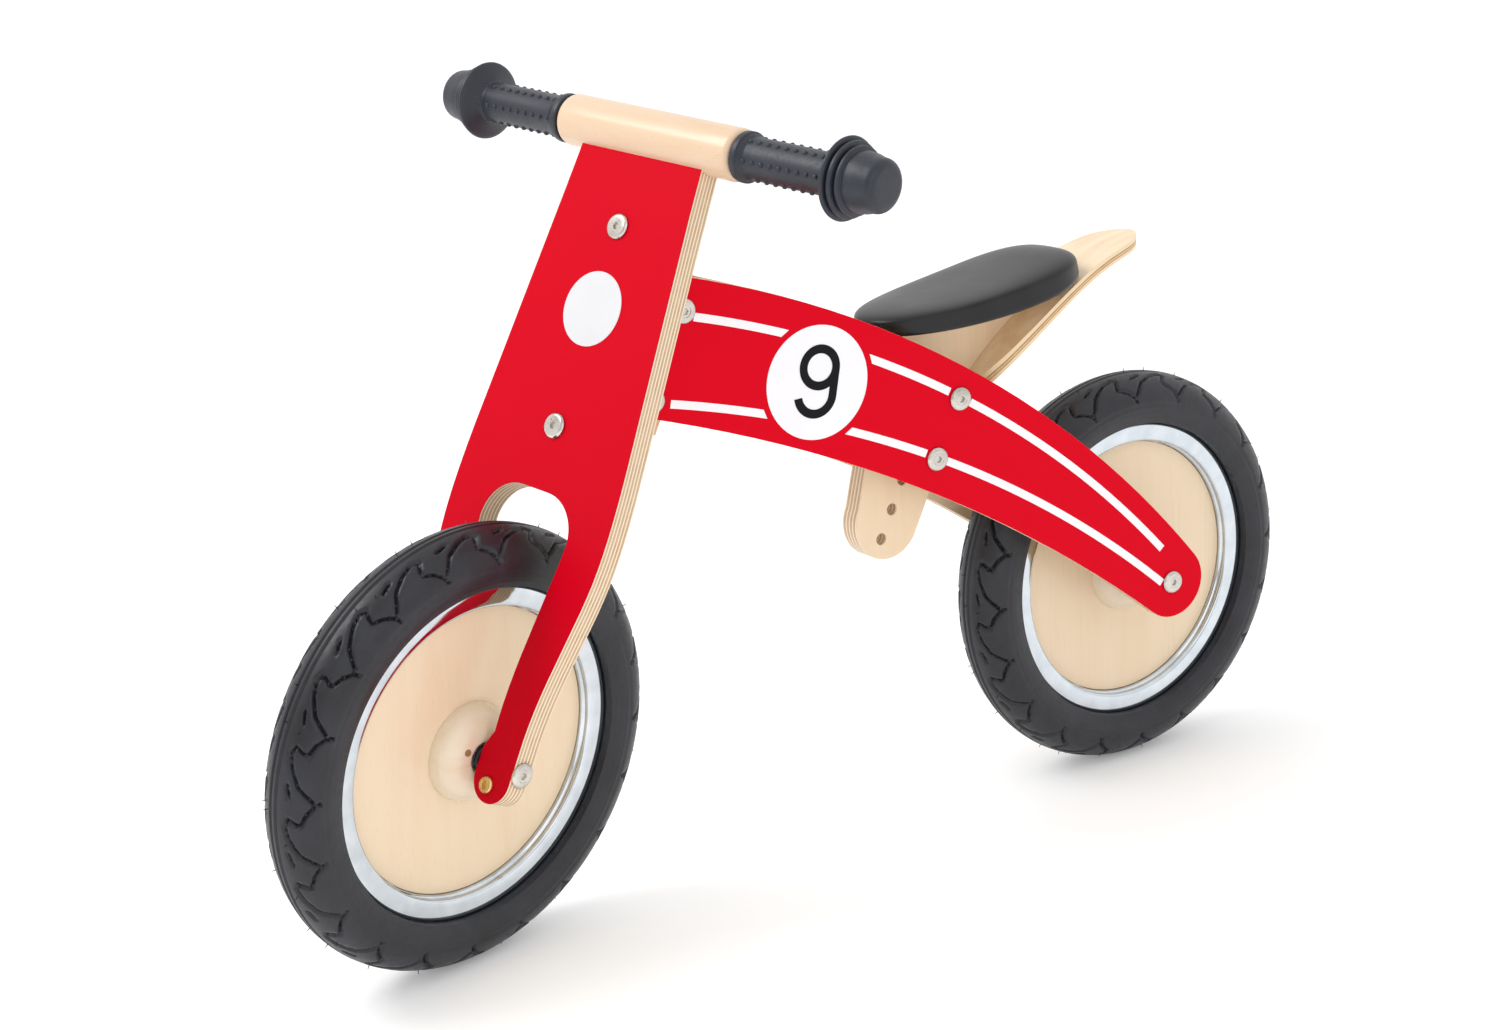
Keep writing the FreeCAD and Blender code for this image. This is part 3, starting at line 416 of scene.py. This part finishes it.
def makeStudio():
    bm = bmesh.new()
    bmesh.ops.create_grid(bm, x_segments=2, y_segments=2, size=studio["floorHalf"])
    mesh = bpy.data.meshes.new("floor")
    bm.to_mesh(mesh)
    bm.free()
    floorFinish = Finish("studio_floor_white")
    tone = studio["floorTone"]
    cloud = floorFinish.noise(0.7, 2.0)
    floorFinish.give(Base_Color=floorFinish.ramp(cloud, (0.3, (tone * 0.995,) * 3), (0.7, (tone,) * 3)),
                     Roughness=0.9, Specular_IOR_Level=0.1, Emission_Color=(1, 1, 1),
                     Emission_Strength=studio["glow"])
    mesh.materials.append(floorFinish.material)
    floor = bpy.data.objects.new("floor", mesh)
    bpy.context.scene.collection.objects.link(floor)

    world = bpy.data.worlds.new("studio")
    bpy.context.scene.world = world
    world.use_nodes = True
    tree = world.node_tree
    background = tree.nodes["Background"]
    direction = tree.nodes.new("ShaderNodeTexCoord")
    towards = tree.nodes.new("ShaderNodeVectorMath")
    towards.operation = "DOT_PRODUCT"
    towards.inputs[1].default_value = studio["facing"]
    ramp = tree.nodes.new("ShaderNodeValToRGB")
    tree.links.new(direction.outputs["Generated"], towards.inputs[0])
    tree.links.new(towards.outputs["Value"], ramp.inputs["Fac"])
    tree.links.new(ramp.outputs[0], background.inputs["Color"])
    for element, position, tone in zip(ramp.color_ramp.elements, (0.25, 0.85), ("sky", "front")):
        element.position = position
        element.color = (studio[tone],) * 3 + (1,)

    areaLight("key", studio["keyPlace"], (0, 0, 0.2), studio["keySize"], studio["keyPower"])
    areaLight("fill", studio["fillPlace"], (0, 0, 0.25), studio["fillSize"], studio["fillPower"])
    bpy.context.scene.view_settings.view_transform = "Standard"


makeCamera()
makeStudio()
print("camera, floor and light ready")


# boards -----------------------------------------------------------------------

boards = [("fork_board", "fork", "forkPly", "red_board", 0.45),
          ("side_panel_left", "frame", "leftPanel", "red_board", 0.4),
          ("side_panel_right", "frame", "rightPanel", "red_board", 0.4),
          ("seat_post", "frame", "postPly", "birch_ply", 0.5),
          ("upper_pivot_block", "fork", "block", "turned_beech", 0.8),
          ("lower_pivot_block", "fork", "block", "turned_beech", 0.8),
          ("head_block", "frame", "block", "turned_beech", 0.6),
          ("post_spacers", "frame", "block", "turned_beech", 0.5),
          ("steering_bolt", "fork", "steel", "bright_steel", 0.4),
          ("steering_nut", "fork", "steel", "bright_steel", 0.4),
          ("pivot_washers", "fork", "plastic", "black_plastic", 0.2)]
for node, body, finish, slot, bevel in boards:
    cadCopy(node, body, finish, bevel)

tail = {"foot": (-128.0, 315.5), "slope": 46.3, "bend": 286.5, "thickness": 8.0}
tailSlope = math.radians(tail["slope"])
tailCentre = Vector((tail["foot"][0] - math.sin(tailSlope) * tail["bend"], 0,
                     tail["foot"][1] - math.cos(tailSlope) * tail["bend"])) * mm
tailDepth = bentDepth(tailCentre, tail["bend"] * mm, tail["thickness"] * mm)
finishes["tailPly"] = plywood("tail_board_ply", tailDepth, 1.4, "X", None, 0.36, 0.90,
                              ("tailLight", "tailGold"))
cadCopy("tail_board", "frame", "tailPly", 0.6)
seatDepth = straightDepth((0, 0, 0.36), (0.139, 0, 0.990), 8 * mm)
finishes["seatPly"] = plywood("seat_board_ply", seatDepth, 2.4, "X")
cadCopy("seat_board", "frame", "seatPly", 0.4)
print("boards and blocks ready")


# wheels -----------------------------------------------------------------------

tyre = {"outer": 148.0, "tube": 23.8, "ledge": 111.8, "bead": 12.9, "steps": 612, "fine": 104,
        "repeats": 20, "depth": 2.5, "half": 1.5, "hairs": 46, "hairLength": 3.2}
# one hook of the shoulder tread: degrees round the wheel, degrees across the tyre from its crown
hook = [(0, 64), (3.4, 41), (8, 27), (11.6, 21.5), (13.3, 27), (12.0, 40), (11.8, 47), (14.6, 55),
        (16.6, 66), (17.4, 76)]
dash = [(1.0, 28), (4.0, 23)]


def nearLine(x, y, line, period):
    # shortest distance in millimetres from a tread place to a line that repeats round the wheel
    best = 1e9
    for shift in (-period, 0, period):
        for (ax, ay), (bx, by) in zip(line[:-1], line[1:]):
            dx, dy = bx - ax, by - ay
            px, py = x - ax - shift, y - ay
            share = max(0.0, min(1.0, (px * dx + py * dy) / (dx * dx + dy * dy)))
            best = min(best, math.hypot(px - share * dx, py - share * dy))
    return best


def treadDepth(angle, across, pitch, cache):
    # grooves of the hooked shoulder pattern, the short slots and the two crown lines
    side = 1 if across >= 0 else -1
    offset = 0 if side > 0 else pitch / 2
    x = (angle + offset) % pitch
    y = abs(across)
    key = (round(x, 3), round(y, 3))
    if key in cache:
        return cache[key]
    round1 = (tyre["outer"] - 8) * math.pi / 180
    over1 = tyre["tube"] * math.pi / 180
    scaled = [(a * round1, b * over1) for a, b in hook]
    slot = [(a * round1, b * over1) for a, b in dash]
    place = (x * round1, y * over1)
    period = pitch * round1
    half = tyre["half"]
    groove = max(0.0, 1 - (nearLine(*place, scaled, period) / half) ** 2)
    short = max(0.0, 1 - (nearLine(*place, slot, period) / (half * 0.9)) ** 2)
    crown = max(0.0, 1 - (abs(y - 6.0) * over1 / 0.9) ** 2) * 0.8
    ridge = -0.30 * max(0.0, 1 - (abs(y - 90.0) * over1 / 0.7) ** 2)
    ridge -= 0.25 * max(0.0, 1 - (abs(y - 112.0) * over1 / 0.8) ** 2)
    step = 0.35 * min(1.0, max(0.0, (y - 80.0) / 4.0)) * min(1.0, max(0.0, (118.0 - y) / 4.0))
    cache[key] = tyre["depth"] * max(groove, short, crown) + ridge + step
    return cache[key]


def makeTyre(name, place, body, node):
    centre = tyre["outer"] - tyre["tube"]
    end = math.degrees(math.acos((tyre["ledge"] - centre) / tyre["tube"]))
    outside = arcPoints(centre, 0, tyre["tube"], -end, end, tyre["fine"])
    bead = [(tyre["ledge"] - 0.7, tyre["bead"] + 0.5), (102.0, tyre["bead"]), (102.0, 10.5), (111.0, 10.0),
            (115.0, 15.5)]
    hollow = arcPoints(centre, 0, 20.2, 115, -115, 8)
    inner = [(r, -y) for r, y in reversed(bead)]
    bm = bmesh.new()
    spun(bm, outside + bead + hollow + inner, tyre["steps"], closedLoop=True)
    pitch = 360 / tyre["repeats"]
    cache = {}
    for vert in bm.verts:
        reach = math.hypot(vert.co.x, vert.co.z) / mm
        if math.hypot(reach - centre, vert.co.y / mm) < tyre["tube"] - 0.2:
            continue
        angle = math.degrees(math.atan2(vert.co.z, vert.co.x)) % 360
        over = math.degrees(math.atan2(vert.co.y / mm, reach - centre))
        if abs(over) > end + 0.5:
            continue
        push = treadDepth(angle, over, pitch, cache) * mm
        outward = Vector((vert.co.x / reach, 0, vert.co.z / reach)) / mm * math.cos(math.radians(over))
        outward.y = math.sin(math.radians(over))
        vert.co -= outward * push
    hairAngles = [(step * 360 / tyre["hairs"] + 7 * math.sin(step * 2.4), 30 * math.sin(step * 1.7))
                  for step in range(tyre["hairs"])]
    for around, over in hairAngles:
        spot = Matrix.Rotation(math.radians(-around), 4, "Y") @ Matrix.Translation((centre * mm, 0, 0))
        spot = spot @ Matrix.Rotation(math.radians(over), 4, "Z")
        spot = spot @ Matrix.Translation(((tyre["tube"] + 0.9) * mm, 0, 0))
        spot = spot @ Matrix.Rotation(math.radians(90), 4, "Y")
        bmesh.ops.create_cone(bm, segments=5, radius1=0.42 * mm, radius2=0.16 * mm,
                              depth=tyre["hairLength"] * mm, cap_ends=True, matrix=spot)
    finishPiece(name, bm, body, "tyre", place, (node,), sharp=50)


rim = {"steps": 160,
       "face": [(110.4, 13.0), (110.6, 13.9), (110.1, 14.6), (109.0, 14.9), (106.0, 14.75), (102.5, 14.4),
                (99.6, 14.0), (98.1, 13.5), (97.4, 12.7), (97.2, 11.7), (97.5, 10.7), (98.2, 10.0),
                (98.3, 9.3), (97.7, 8.6), (96.9, 8.2), (96.4, 7.4), (96.25, 6.4), (96.2, 3.0)],
       "back": [(103.2, 12.2), (101.4, 8.2), (100.0, 6.2), (98.6, 3.0)]}


def makeRim(name, place, body, node):
    face = rim["face"]
    back = rim["back"]
    outline = face + [(r, -y) for r, y in reversed(face)] + [(r, -y) for r, y in back] + list(reversed(back))
    bm = bmesh.new()
    spun(bm, outline, rim["steps"], closedLoop=True)
    finishPiece(name, bm, body, "chrome", place, (node,), sharp=50)


hub = {"radius": 33.0, "base": 6.1, "height": 15.6, "nose": 13.0, "bore": 11.1, "steps": 96,
       "pin": (16.2, 2.3), "disc": (11.2, 96.0, 6.0)}


def domeHeight(r):
    # full quarter round that flattens at the nose
    share = min(1.0, max(0.0, (r - hub["nose"]) / (hub["radius"] - hub["nose"])))
    return hub["base"] + hub["height"] * math.sqrt(max(0.0, 1 - share ** 2.3))


def makeHubs(wheel, place, body):
    reach = hub["radius"] - hub["nose"]
    rings = [hub["nose"] + reach * math.sin(step * math.pi / 40) for step in range(21)]
    for side, word in ((1, "left"), (-1, "right")):
        outline = [(hub["bore"], hub["base"]), (hub["bore"], hub["base"] + hub["height"] - 0.4),
                   (hub["bore"] + 0.5, hub["base"] + hub["height"])]
        outline += [(r, domeHeight(r)) for r in rings]
        bm = bmesh.new()
        spun(bm, [(r, side * y) for r, y in outline], hub["steps"], closedLoop=True)
        name = f"{wheel}_hub_{word}"
        finishPiece(name + "_turned", bm, body, "dome", place, (name,), sharp=40)

    inner, outer, half = hub["disc"]
    bm = bmesh.new()
    spun(bm, [(inner, -half), (outer - 0.5, -half), (outer, 0.5 - half), (outer, half - 0.5),
              (outer - 0.5, half), (inner, half)], 120, closedLoop=True)
    finishPiece(f"{wheel}_disc_turned", bm, body, "discPly", place, (f"{wheel}_disc",), sharp=30)

    # a flat dark brown disc on each dome, painted shade standing in for the recess of the pin hole
    around, size = hub["pin"]
    bm = bmesh.new()
    for side in (1, -1):
        spot = Matrix.Rotation(math.radians(-6), 4, "Y") @ Matrix.Translation(
            (around * mm, side * (domeHeight(around) + 0.02) * mm, 0))
        lean = Matrix.Rotation(math.radians(-side * 14), 4, "Z") @ Matrix.Rotation(math.radians(90), 4, "X")
        bmesh.ops.create_cone(bm, cap_ends=True, segments=20, radius1=size * mm, radius2=size * mm,
                              depth=0.5 * mm, matrix=spot @ lean)
    finishPiece(f"{wheel}_hub_pin_hole_shade", bm, body, "pin", place)


for wheel, place in (("front", forkPlace), ("rear", rearPlace)):
    body = wheel + "_wheel"
    makeTyre(wheel + "_tyre_treaded", place, body, wheel + "_tyre")
    makeRim(wheel + "_rim_plated", place, body, wheel + "_rim")
    makeHubs(wheel, place, body)
print("wheels ready")


# bolts ------------------------------------------------------------------------

bolt = {"head": 8.3, "height": 2.6, "shank": 2.9, "socket": 2.6, "steps": 24}


def addBolt(bm, place, head, length):
    # flat socket head with an eased rim; Z points out of the head
    scale = head / bolt["head"]
    top = bolt["height"]
    part = bmesh.new()
    hexRings = ((bolt["socket"], top - 0.35), (bolt["socket"], top - 1.8))
    outline = [(0, -length), (bolt["shank"], -length), (bolt["shank"], 0), (head, 0), (head, top * 0.42),
               (head - 0.45 * scale, top * 0.72), (head - 1.3 * scale, top * 0.95), (head - 2.2 * scale, top),
               (4.3 * scale, top), (3.9 * scale, top - 0.35), *hexRings, (0, top - 1.8)]
    spun(part, outline, bolt["steps"])
    for vert in part.verts:
        reach = math.hypot(vert.co.x, vert.co.z) / mm
        if abs(reach - bolt["socket"]) < 0.01 and vert.co.y > 0:
            angle = math.degrees(math.atan2(vert.co.z, vert.co.x)) % 60 - 30
            flat = math.cos(math.radians(30)) / math.cos(math.radians(angle))
            vert.co.x *= flat
            vert.co.z *= flat
    part.transform(place @ Matrix.Rotation(math.radians(90), 4, "X"))
    mesh = bpy.data.meshes.new("bolt")
    part.to_mesh(mesh)
    part.free()
    bm.from_mesh(mesh)
    bpy.data.meshes.remove(mesh)


def facing(direction, spot):
    turn = Vector(direction).to_track_quat("Z", "Y").to_matrix().to_4x4()
    return Matrix.Translation(Vector(spot) * mm) @ turn


def boltGroup(node, body, finish, spots, head, length):
    bm = bmesh.new()
    for spot in spots:
        addBolt(bm, spot, head, length)
    finishPiece(node + "_turned", bm, body, finish, replaced=(node,), sharp=28)


boltPlaces = {
    "pivot_block_bolts": ("fork", "nickel", "bolt_nickel", 8.3, 22.0,
                          [forkPlace @ facing((1, 0, 0), (8.05, 0, up)) for up in (343.3, 212.3)]),
    "foot_cross_bolts": ("fork", "brass", "bolt_brass", 5.6, 15.0,
                         [forkPlace @ facing((1, 0, 0), (8.05, left, -13.0)) for left in (37.8, -37.8)]),
    "front_axle_bolts": ("fork", "nickel", "bolt_nickel", 8.3, 0.2,
                         [forkPlace @ facing((0, side, 0), (0, side * 55.65, 0)) for side in (1, -1)]),
}
seatBolt = (181.4 / math.cos(math.radians(panelFacts["turn"])), 166.7)
postLean = math.radians(26.9)
lowBolt = (seatBolt[0] + 44 * math.sin(postLean), seatBolt[1] - 44 * math.cos(postLean))
headBolts = [headPoint(306.4, 18.2), headPoint(246.0, 18.2)]
for node, spots, length in (("seat_bolts", (seatBolt, lowBolt), 38.0), ("head_bolts", headBolts, 20.0),
                            ("rear_axle_bolts", ((0.4, 0.0),), 0.2)):
    places = [panelPlace(side) @ facing((0, side, 0), (u, side * 0.05, v))
              for side in (1, -1) for u, v in spots]
    boltPlaces[node] = ("frame", "nickel", "bolt_nickel", 8.3, length, places)
for node, (body, finish, slot, head, length, places) in boltPlaces.items():
    boltGroup(node, body, finish, places, head, length)
print("bolts ready")


# handlebar and grips ----------------------------------------------------------

bar = {"up": 404.5, "radius": 16.8, "half": 76.5, "ease": 5.0, "core": 10.8, "steps": 96}
barPlace = forkPlace @ Matrix.Translation((0, 0, bar["up"] * mm))
grip = {"start": 77.0, "tube": 13.2, "collar": 16.0, "flange": 25.6, "at": 157.0, "end": 190.3,
        "rows": 6, "nubs": 10, "nub": 1.9, "first": 87.0, "spacing": 7.3, "steps": 96}


def makeBar():
    ease, radius, half = bar["ease"], bar["radius"], bar["half"]
    right = arcPoints(radius - ease, half - ease, ease, 0, 90, 8)
    left = [(r, -y) for r, y in reversed(right)]
    outline = [(0, -178.0), (bar["core"], -178.0), (bar["core"], -half)] + left
    outline += [(radius, y) for y in (-50, -25, 0, 25, 50)] + right
    outline += [(bar["core"], half), (bar["core"], 178.0), (0, 178.0)]
    bm = bmesh.new()
    spun(bm, outline, bar["steps"])
    finishPiece("handlebar_turned", bm, "fork", "beech", barPlace, ("handlebar",), sharp=40)


def makeGrip(side, word):
    at, flange, tube, end = grip["at"], grip["flange"], grip["tube"], grip["end"]
    start, collar = grip["start"], grip["collar"]
    outline = [(bar["core"] + 0.1, start + 100), (bar["core"] + 0.1, start), (collar - 1.2, start)]
    outline += arcPoints(collar - 1.2, start + 1.2, 1.2, -90, 0, 3)
    outline += arcPoints(collar - 1.0, start + 4.4, 1.0, 0, 90, 3)
    outline += [(tube + 1.6, start + 5.6), (tube + 1.4, start + 7.6), (tube + 0.3, start + 8.6),
                (tube, start + 10)]
    outline += [(tube, start + 30), (tube, start + 60), (tube, at - 8)]
    outline += arcPoints(tube + 3.2, at - 6.5, 3.2, 180, 120, 4)
    outline += [(flange - 4, at - 0.6), (flange - 1.2, at + 0.7)]
    outline += arcPoints(flange - 1.4, at + 2.3, 1.4, -60, 90, 5)
    for drop, low, high in ((2.2, 4.7, 8.2), (4.4, 9.2, 12.6)):
        ringEdge = flange - drop
        outline += [(ringEdge - 1.9, at + low - 0.6), (ringEdge - 1.9, at + low)]
        outline += arcPoints(ringEdge - 1.1, at + low + 1.3, 1.1, -70, 0, 3)
        outline += arcPoints(ringEdge - 1.1, at + high - 1.2, 1.1, 0, 90, 3)
    dome = flange - 7.0
    outline += [(dome, at + 13.2), (dome, at + 15.0), (dome - 0.5, at + 20.5), (dome - 1.7, at + 25.0)]
    outline += arcPoints(dome - 7.9, end - 6.0, 6.0, 10, 90, 8)
    outline += [(dome - 12, end + 0.15), (0, end + 0.2)]
    bm = bmesh.new()
    spun(bm, [(r, side * y) for r, y in outline], grip["steps"])
    for row in range(grip["rows"]):
        for number in range(grip["nubs"]):
            turn = Matrix.Rotation(math.radians(row * 360 / grip["rows"] + 22), 4, "Y")
            along = side * (grip["first"] + number * grip["spacing"]) * mm
            spot = turn @ Matrix.Translation(((tube - 0.4) * mm, along, 0))
            bmesh.ops.create_icosphere(bm, subdivisions=2, radius=grip["nub"] * mm, matrix=spot)
    finishPiece(f"grip_{word}_moulded", bm, "fork", "grip", barPlace, (f"grip_{word}",),
                sharp=44)


makeBar()
makeGrip(1, "left")
makeGrip(-1, "right")
print("handlebar and grips ready")


# trim on the boards -----------------------------------------------------------

trim = {"thickness": 0.22, "width": 5.5, "gap": 4.4, "disc": (11.3, 343.3, 38.6), "silver": (289.4, 24.2),
        "lean": 11.0, "bowl": (0.3, 10.2, 9.5, 15.4), "tail": (-0.5, -8.0, 10.2, 16.2), "sweep": 165.0}
stripes = {
    "upper": {"centre": (574.9, -489.2), "radius": 765.6,
              "runs": ((100.0, 11.3), (11.3, -92.0), (-108.5, -272.0))},
    "lower": {"centre": (586.1, -660.3), "radius": 877.4,
              "runs": ((120.0, 11.3), (11.3, -72.0), (-88.0, -272.0))},
}


def alongPanel(x):
    # distance along the panel's face from its rear axle for a place along the bike
    return (x - rearCentre.x / mm) / math.cos(math.radians(panelFacts["turn"]))


def addStripe(bm, centre, radius, first, last):
    # a ribbon swept about the stripe's own centre, cut short of the number disc where it nears it
    def angleAt(x):
        return math.acos((alongPanel(x) - centre[0]) / radius)

    def onStripe(angle):
        return Vector((centre[0] + radius * math.cos(angle), 0, centre[1] + radius * math.sin(angle)))

    x, z, discRadius = trim["disc"]
    disc = Vector((alongPanel(x), 0, z - rearCentre.z / mm))
    start, end = angleAt(first), angleAt(last)
    middle = Vector((centre[0], 0, centre[1])) * mm
    half = trim["width"] / 2
    ribbon = bmesh.new()
    direction = Vector((math.cos(start), 0, math.sin(start)))
    ends = [ribbon.verts.new(middle + direction * ((radius + offset) * mm)) for offset in (-half, half)]
    edge = ribbon.edges.new(ends)
    bmesh.ops.spin(ribbon, geom=ends + [edge], cent=middle, axis=(0, -1, 0), angle=end - start, steps=40)
    if trim["disc"][0] in (first, last):
        inside, outside = (start, end) if first == trim["disc"][0] else (end, start)
        for halving in range(30):
            halfway = 0.5 * (inside + outside)
            if (onStripe(halfway) - disc).length < discRadius + trim["gap"]:
                inside = halfway
            else:
                outside = halfway
        cut = onStripe(outside)
        bmesh.ops.bisect_plane(ribbon, geom=list(ribbon.verts) + list(ribbon.edges) + list(ribbon.faces),
                               plane_co=cut * mm, plane_no=(cut - disc).normalized(), clear_inner=True)
    mesh = bpy.data.meshes.new("ribbon")
    ribbon.to_mesh(mesh)
    ribbon.free()
    bm.from_mesh(mesh)
    bpy.data.meshes.remove(mesh)


def thicken(bm, side):
    out = Vector((0, side * trim["thickness"] * mm, 0))
    made = bmesh.ops.extrude_face_region(bm, geom=list(bm.faces))
    bmesh.ops.translate(bm, vec=out, verts=[g for g in made["geom"] if isinstance(g, bmesh.types.BMVert)])
    bmesh.ops.translate(bm, vec=out * 0.15, verts=bm.verts)


def makeTrim(side, word):
    bm = bmesh.new()
    for stripe in stripes.values():
        for first, last in stripe["runs"]:
            addStripe(bm, stripe["centre"], stripe["radius"], first, last)
    thicken(bm, side)
    finishPiece(f"stripes_{word}", bm, "frame", "white", panelPlace(side), sharp=30)

    x, z, radius = trim["disc"]
    spot = Vector((alongPanel(x), 0, z - rearCentre.z / mm)) * mm
    bm = bmesh.new()
    bmesh.ops.create_circle(bm, cap_ends=True, segments=128, radius=radius * mm,
                            matrix=Matrix.Translation(spot) @ Matrix.Rotation(math.radians(90), 4, "X"))
    thicken(bm, side)
    finishPiece(f"number_disc_{word}", bm, "frame", "white", panelPlace(side), sharp=30)

    # the number: a round bowl, and a stem that turns into the tail
    bm = bmesh.new()
    right, up, inner, outer = trim["bowl"]
    ring = [bm.verts.new((right + reach, 0, up)) for reach in (inner, outer)]
    bmesh.ops.spin(bm, geom=ring + [bm.edges.new(ring)], cent=(right, 0, up), axis=(0, 1, 0), angle=math.tau,
                   steps=64, use_merge=True)
    tailRight, tailUp, inner, outer = trim["tail"]
    stem = [bm.verts.new((tailRight + reach, 0.01, up)) for reach in (inner, outer)]
    made = bmesh.ops.extrude_edge_only(bm, edges=[bm.edges.new(stem)])["geom"]
    low = [g for g in made if isinstance(g, bmesh.types.BMVert)]
    bmesh.ops.translate(bm, vec=(0, 0, tailUp - up), verts=low)
    lowEdge = [g for g in made if isinstance(g, bmesh.types.BMEdge) and all(v in low for v in g.verts)]
    bmesh.ops.spin(bm, geom=low + lowEdge, cent=(tailRight, 0, tailUp), axis=(0, 1, 0),
                   angle=math.radians(trim["sweep"]), steps=40)
    lean = Matrix.Rotation(math.radians(trim["lean"]), 4, "Y")
    readable = Matrix.Diagonal((-side * mm, mm, mm, 1))
    bm.transform(Matrix.Translation(spot + Vector((0, side * (trim["thickness"] + 0.05) * mm, 0)))
                 @ readable @ lean)
    thicken(bm, side)
    finishPiece(f"number_nine_{word}", bm, "frame", "ink", panelPlace(side), sharp=30)


makeTrim(1, "left")
makeTrim(-1, "right")

up, radius = trim["silver"]
bm = bmesh.new()
bmesh.ops.create_circle(bm, cap_ends=True, segments=96, radius=radius * mm,
                        matrix=Matrix.Translation((8.03 * mm, 0, up * mm))
                        @ Matrix.Rotation(math.radians(90), 4, "Y"))
made = bmesh.ops.extrude_face_region(bm, geom=list(bm.faces))
bmesh.ops.translate(bm, vec=(trim["thickness"] * mm, 0, 0),
                    verts=[g for g in made["geom"] if isinstance(g, bmesh.types.BMVert)])
finishPiece("silver_disc_fork", bm, "fork", "silver", forkPlace, sharp=30)
print("trim ready")


# seat -------------------------------------------------------------------------

seat = {"nose": (-50.0, 368.0), "lean": 8.0, "length": 176.5, "width": 96.0, "widest": 0.60,
        "taper": 0.06, "boxy": 0.11,
        "noseHeight": 10.5, "rearHeight": 14.0, "sag": 7.2, "skirt": 1.1, "steps": 72}


def makeSeat():
    lean = math.radians(seat["lean"])
    back = Vector((-math.cos(lean), 0, math.sin(lean)))
    up = Vector((math.sin(lean), 0, math.cos(lean)))
    nose = Vector((seat["nose"][0], 0, seat["nose"][1]))
    frontHalf = seat["length"] * seat["widest"]
    rearHalf = seat["length"] - frontHalf
    # radius as a share of the outline, height as a share of the crown, drop in millimetres
    section = [(0.0, 1.0, 0), (0.12, 0.995, 0), (0.28, 0.98, 0), (0.44, 0.955, 0), (0.58, 0.915, 0),
               (0.70, 0.855, 0), (0.80, 0.77, 0), (0.88, 0.66, 0), (0.94, 0.52, 0), (0.975, 0.36, 0),
               (0.992, 0.18, 0), (0.994, 0.02, -1.2), (0.996, 0.0, -2.8), (1.0, 0.0, -4.8),
               (0.99, 0.0, -6.6), (0.965, 0.0, -7.4), (0.945, 0.0, -5.5), (0.94, 0.0, -1.5),
               (0.93, 0.0, 0.3), (0.5, 0.0, 0.3), (0.0, 0.0, 0.3)]
    bm = bmesh.new()
    verts = [bm.verts.new((share, 0, height + drop * 0.001)) for share, height, drop in section]
    edges = [bm.edges.new(pair) for pair in zip(verts[:-1], verts[1:])]
    heights = {}
    for share, height, drop in section:
        heights[round(height + drop * 0.001, 5)] = (height, drop)
    bmesh.ops.spin(bm, geom=verts + edges, cent=(0, 0, 0), axis=(0, 0, 1), angle=math.tau,
                   steps=seat["steps"], use_merge=True)
    bmesh.ops.remove_doubles(bm, verts=bm.verts, dist=1e-6)
    for vert in bm.verts:
        height, drop = heights[round(vert.co.z, 5)]
        alongHalf = frontHalf if vert.co.x > 0 else rearHalf
        x = vert.co.x
        y = vert.co.y
        corner = seat["boxy"] if x < 0 else 0.5 * seat["boxy"]
        fuller = 1 + corner * math.sin(2 * math.atan2(abs(y), abs(x) + 1e-9)) ** 2 * math.hypot(x, y)
        along = frontHalf - x * alongHalf * fuller
        share = min(1.0, max(0.0, along / seat["length"]))
        over = y * seat["width"] / 2 * fuller * (1 - seat["taper"] * (1 - share))
        sag = 4 * share * (1 - share) * seat["sag"]
        crown = seat["noseHeight"] + (seat["rearHeight"] - seat["noseHeight"]) * share - sag
        lift = crown * height + drop * seat["skirt"]
        if drop < -1.6:
            lift -= 0.95 * sag * (0.6 + 0.6 * share)
        spot = nose + back * along + up * lift
        vert.co = Vector((spot.x, over, spot.z)) * mm
    piece = finishPiece("seat_cushion_padded", bm, "frame", "leather", None,
                        ("seat_cushion",), sharp=0, subdivide=2)


makeSeat()
print("seat ready")


# finishes on the CAD nodes that stay -------------------------------------------

kept = {"front_axle": "steel", "rear_axle": "steel", "front_axle_spacers": "plastic",
        "rear_axle_spacers": "plastic", "front_bearings": "steel", "rear_bearings": "steel",
        "front_hub_sleeve": "steel", "rear_hub_sleeve": "steel", "front_inner_tube": "tube",
        "rear_inner_tube": "tube", "front_valve": "plastic", "rear_valve": "plastic",
        "steering_bushes": "plastic", "seat_nuts": "steel"}
hidden = {"front_tyre": "tyre", "rear_tyre": "tyre", "front_rim": "chrome", "rear_rim": "chrome",
          "front_disc": "discPly", "rear_disc": "discPly", "front_hub_left": "dome",
          "front_hub_right": "dome", "rear_hub_left": "dome", "rear_hub_right": "dome", "handlebar": "beech", "grip_left": "grip",
          "grip_right": "grip", "seat_cushion": "leather", "tail_board": "tailPly", "seat_board": "seatPly",
          "head_bolts": "nickel", "seat_bolts": "nickel", "foot_cross_bolts": "brass",
          "pivot_block_bolts": "nickel", "rear_axle_bolts": "nickel", "front_axle_bolts": "nickel"}
hidden.update({node: finish for node, body, finish, slot, bevel in boards})
for node, finish in (*kept.items(), *hidden.items()):
    for materialSlot in nodes[node].material_slots:
        materialSlot.material = finishes[finish]
print("finishes given to the frame")
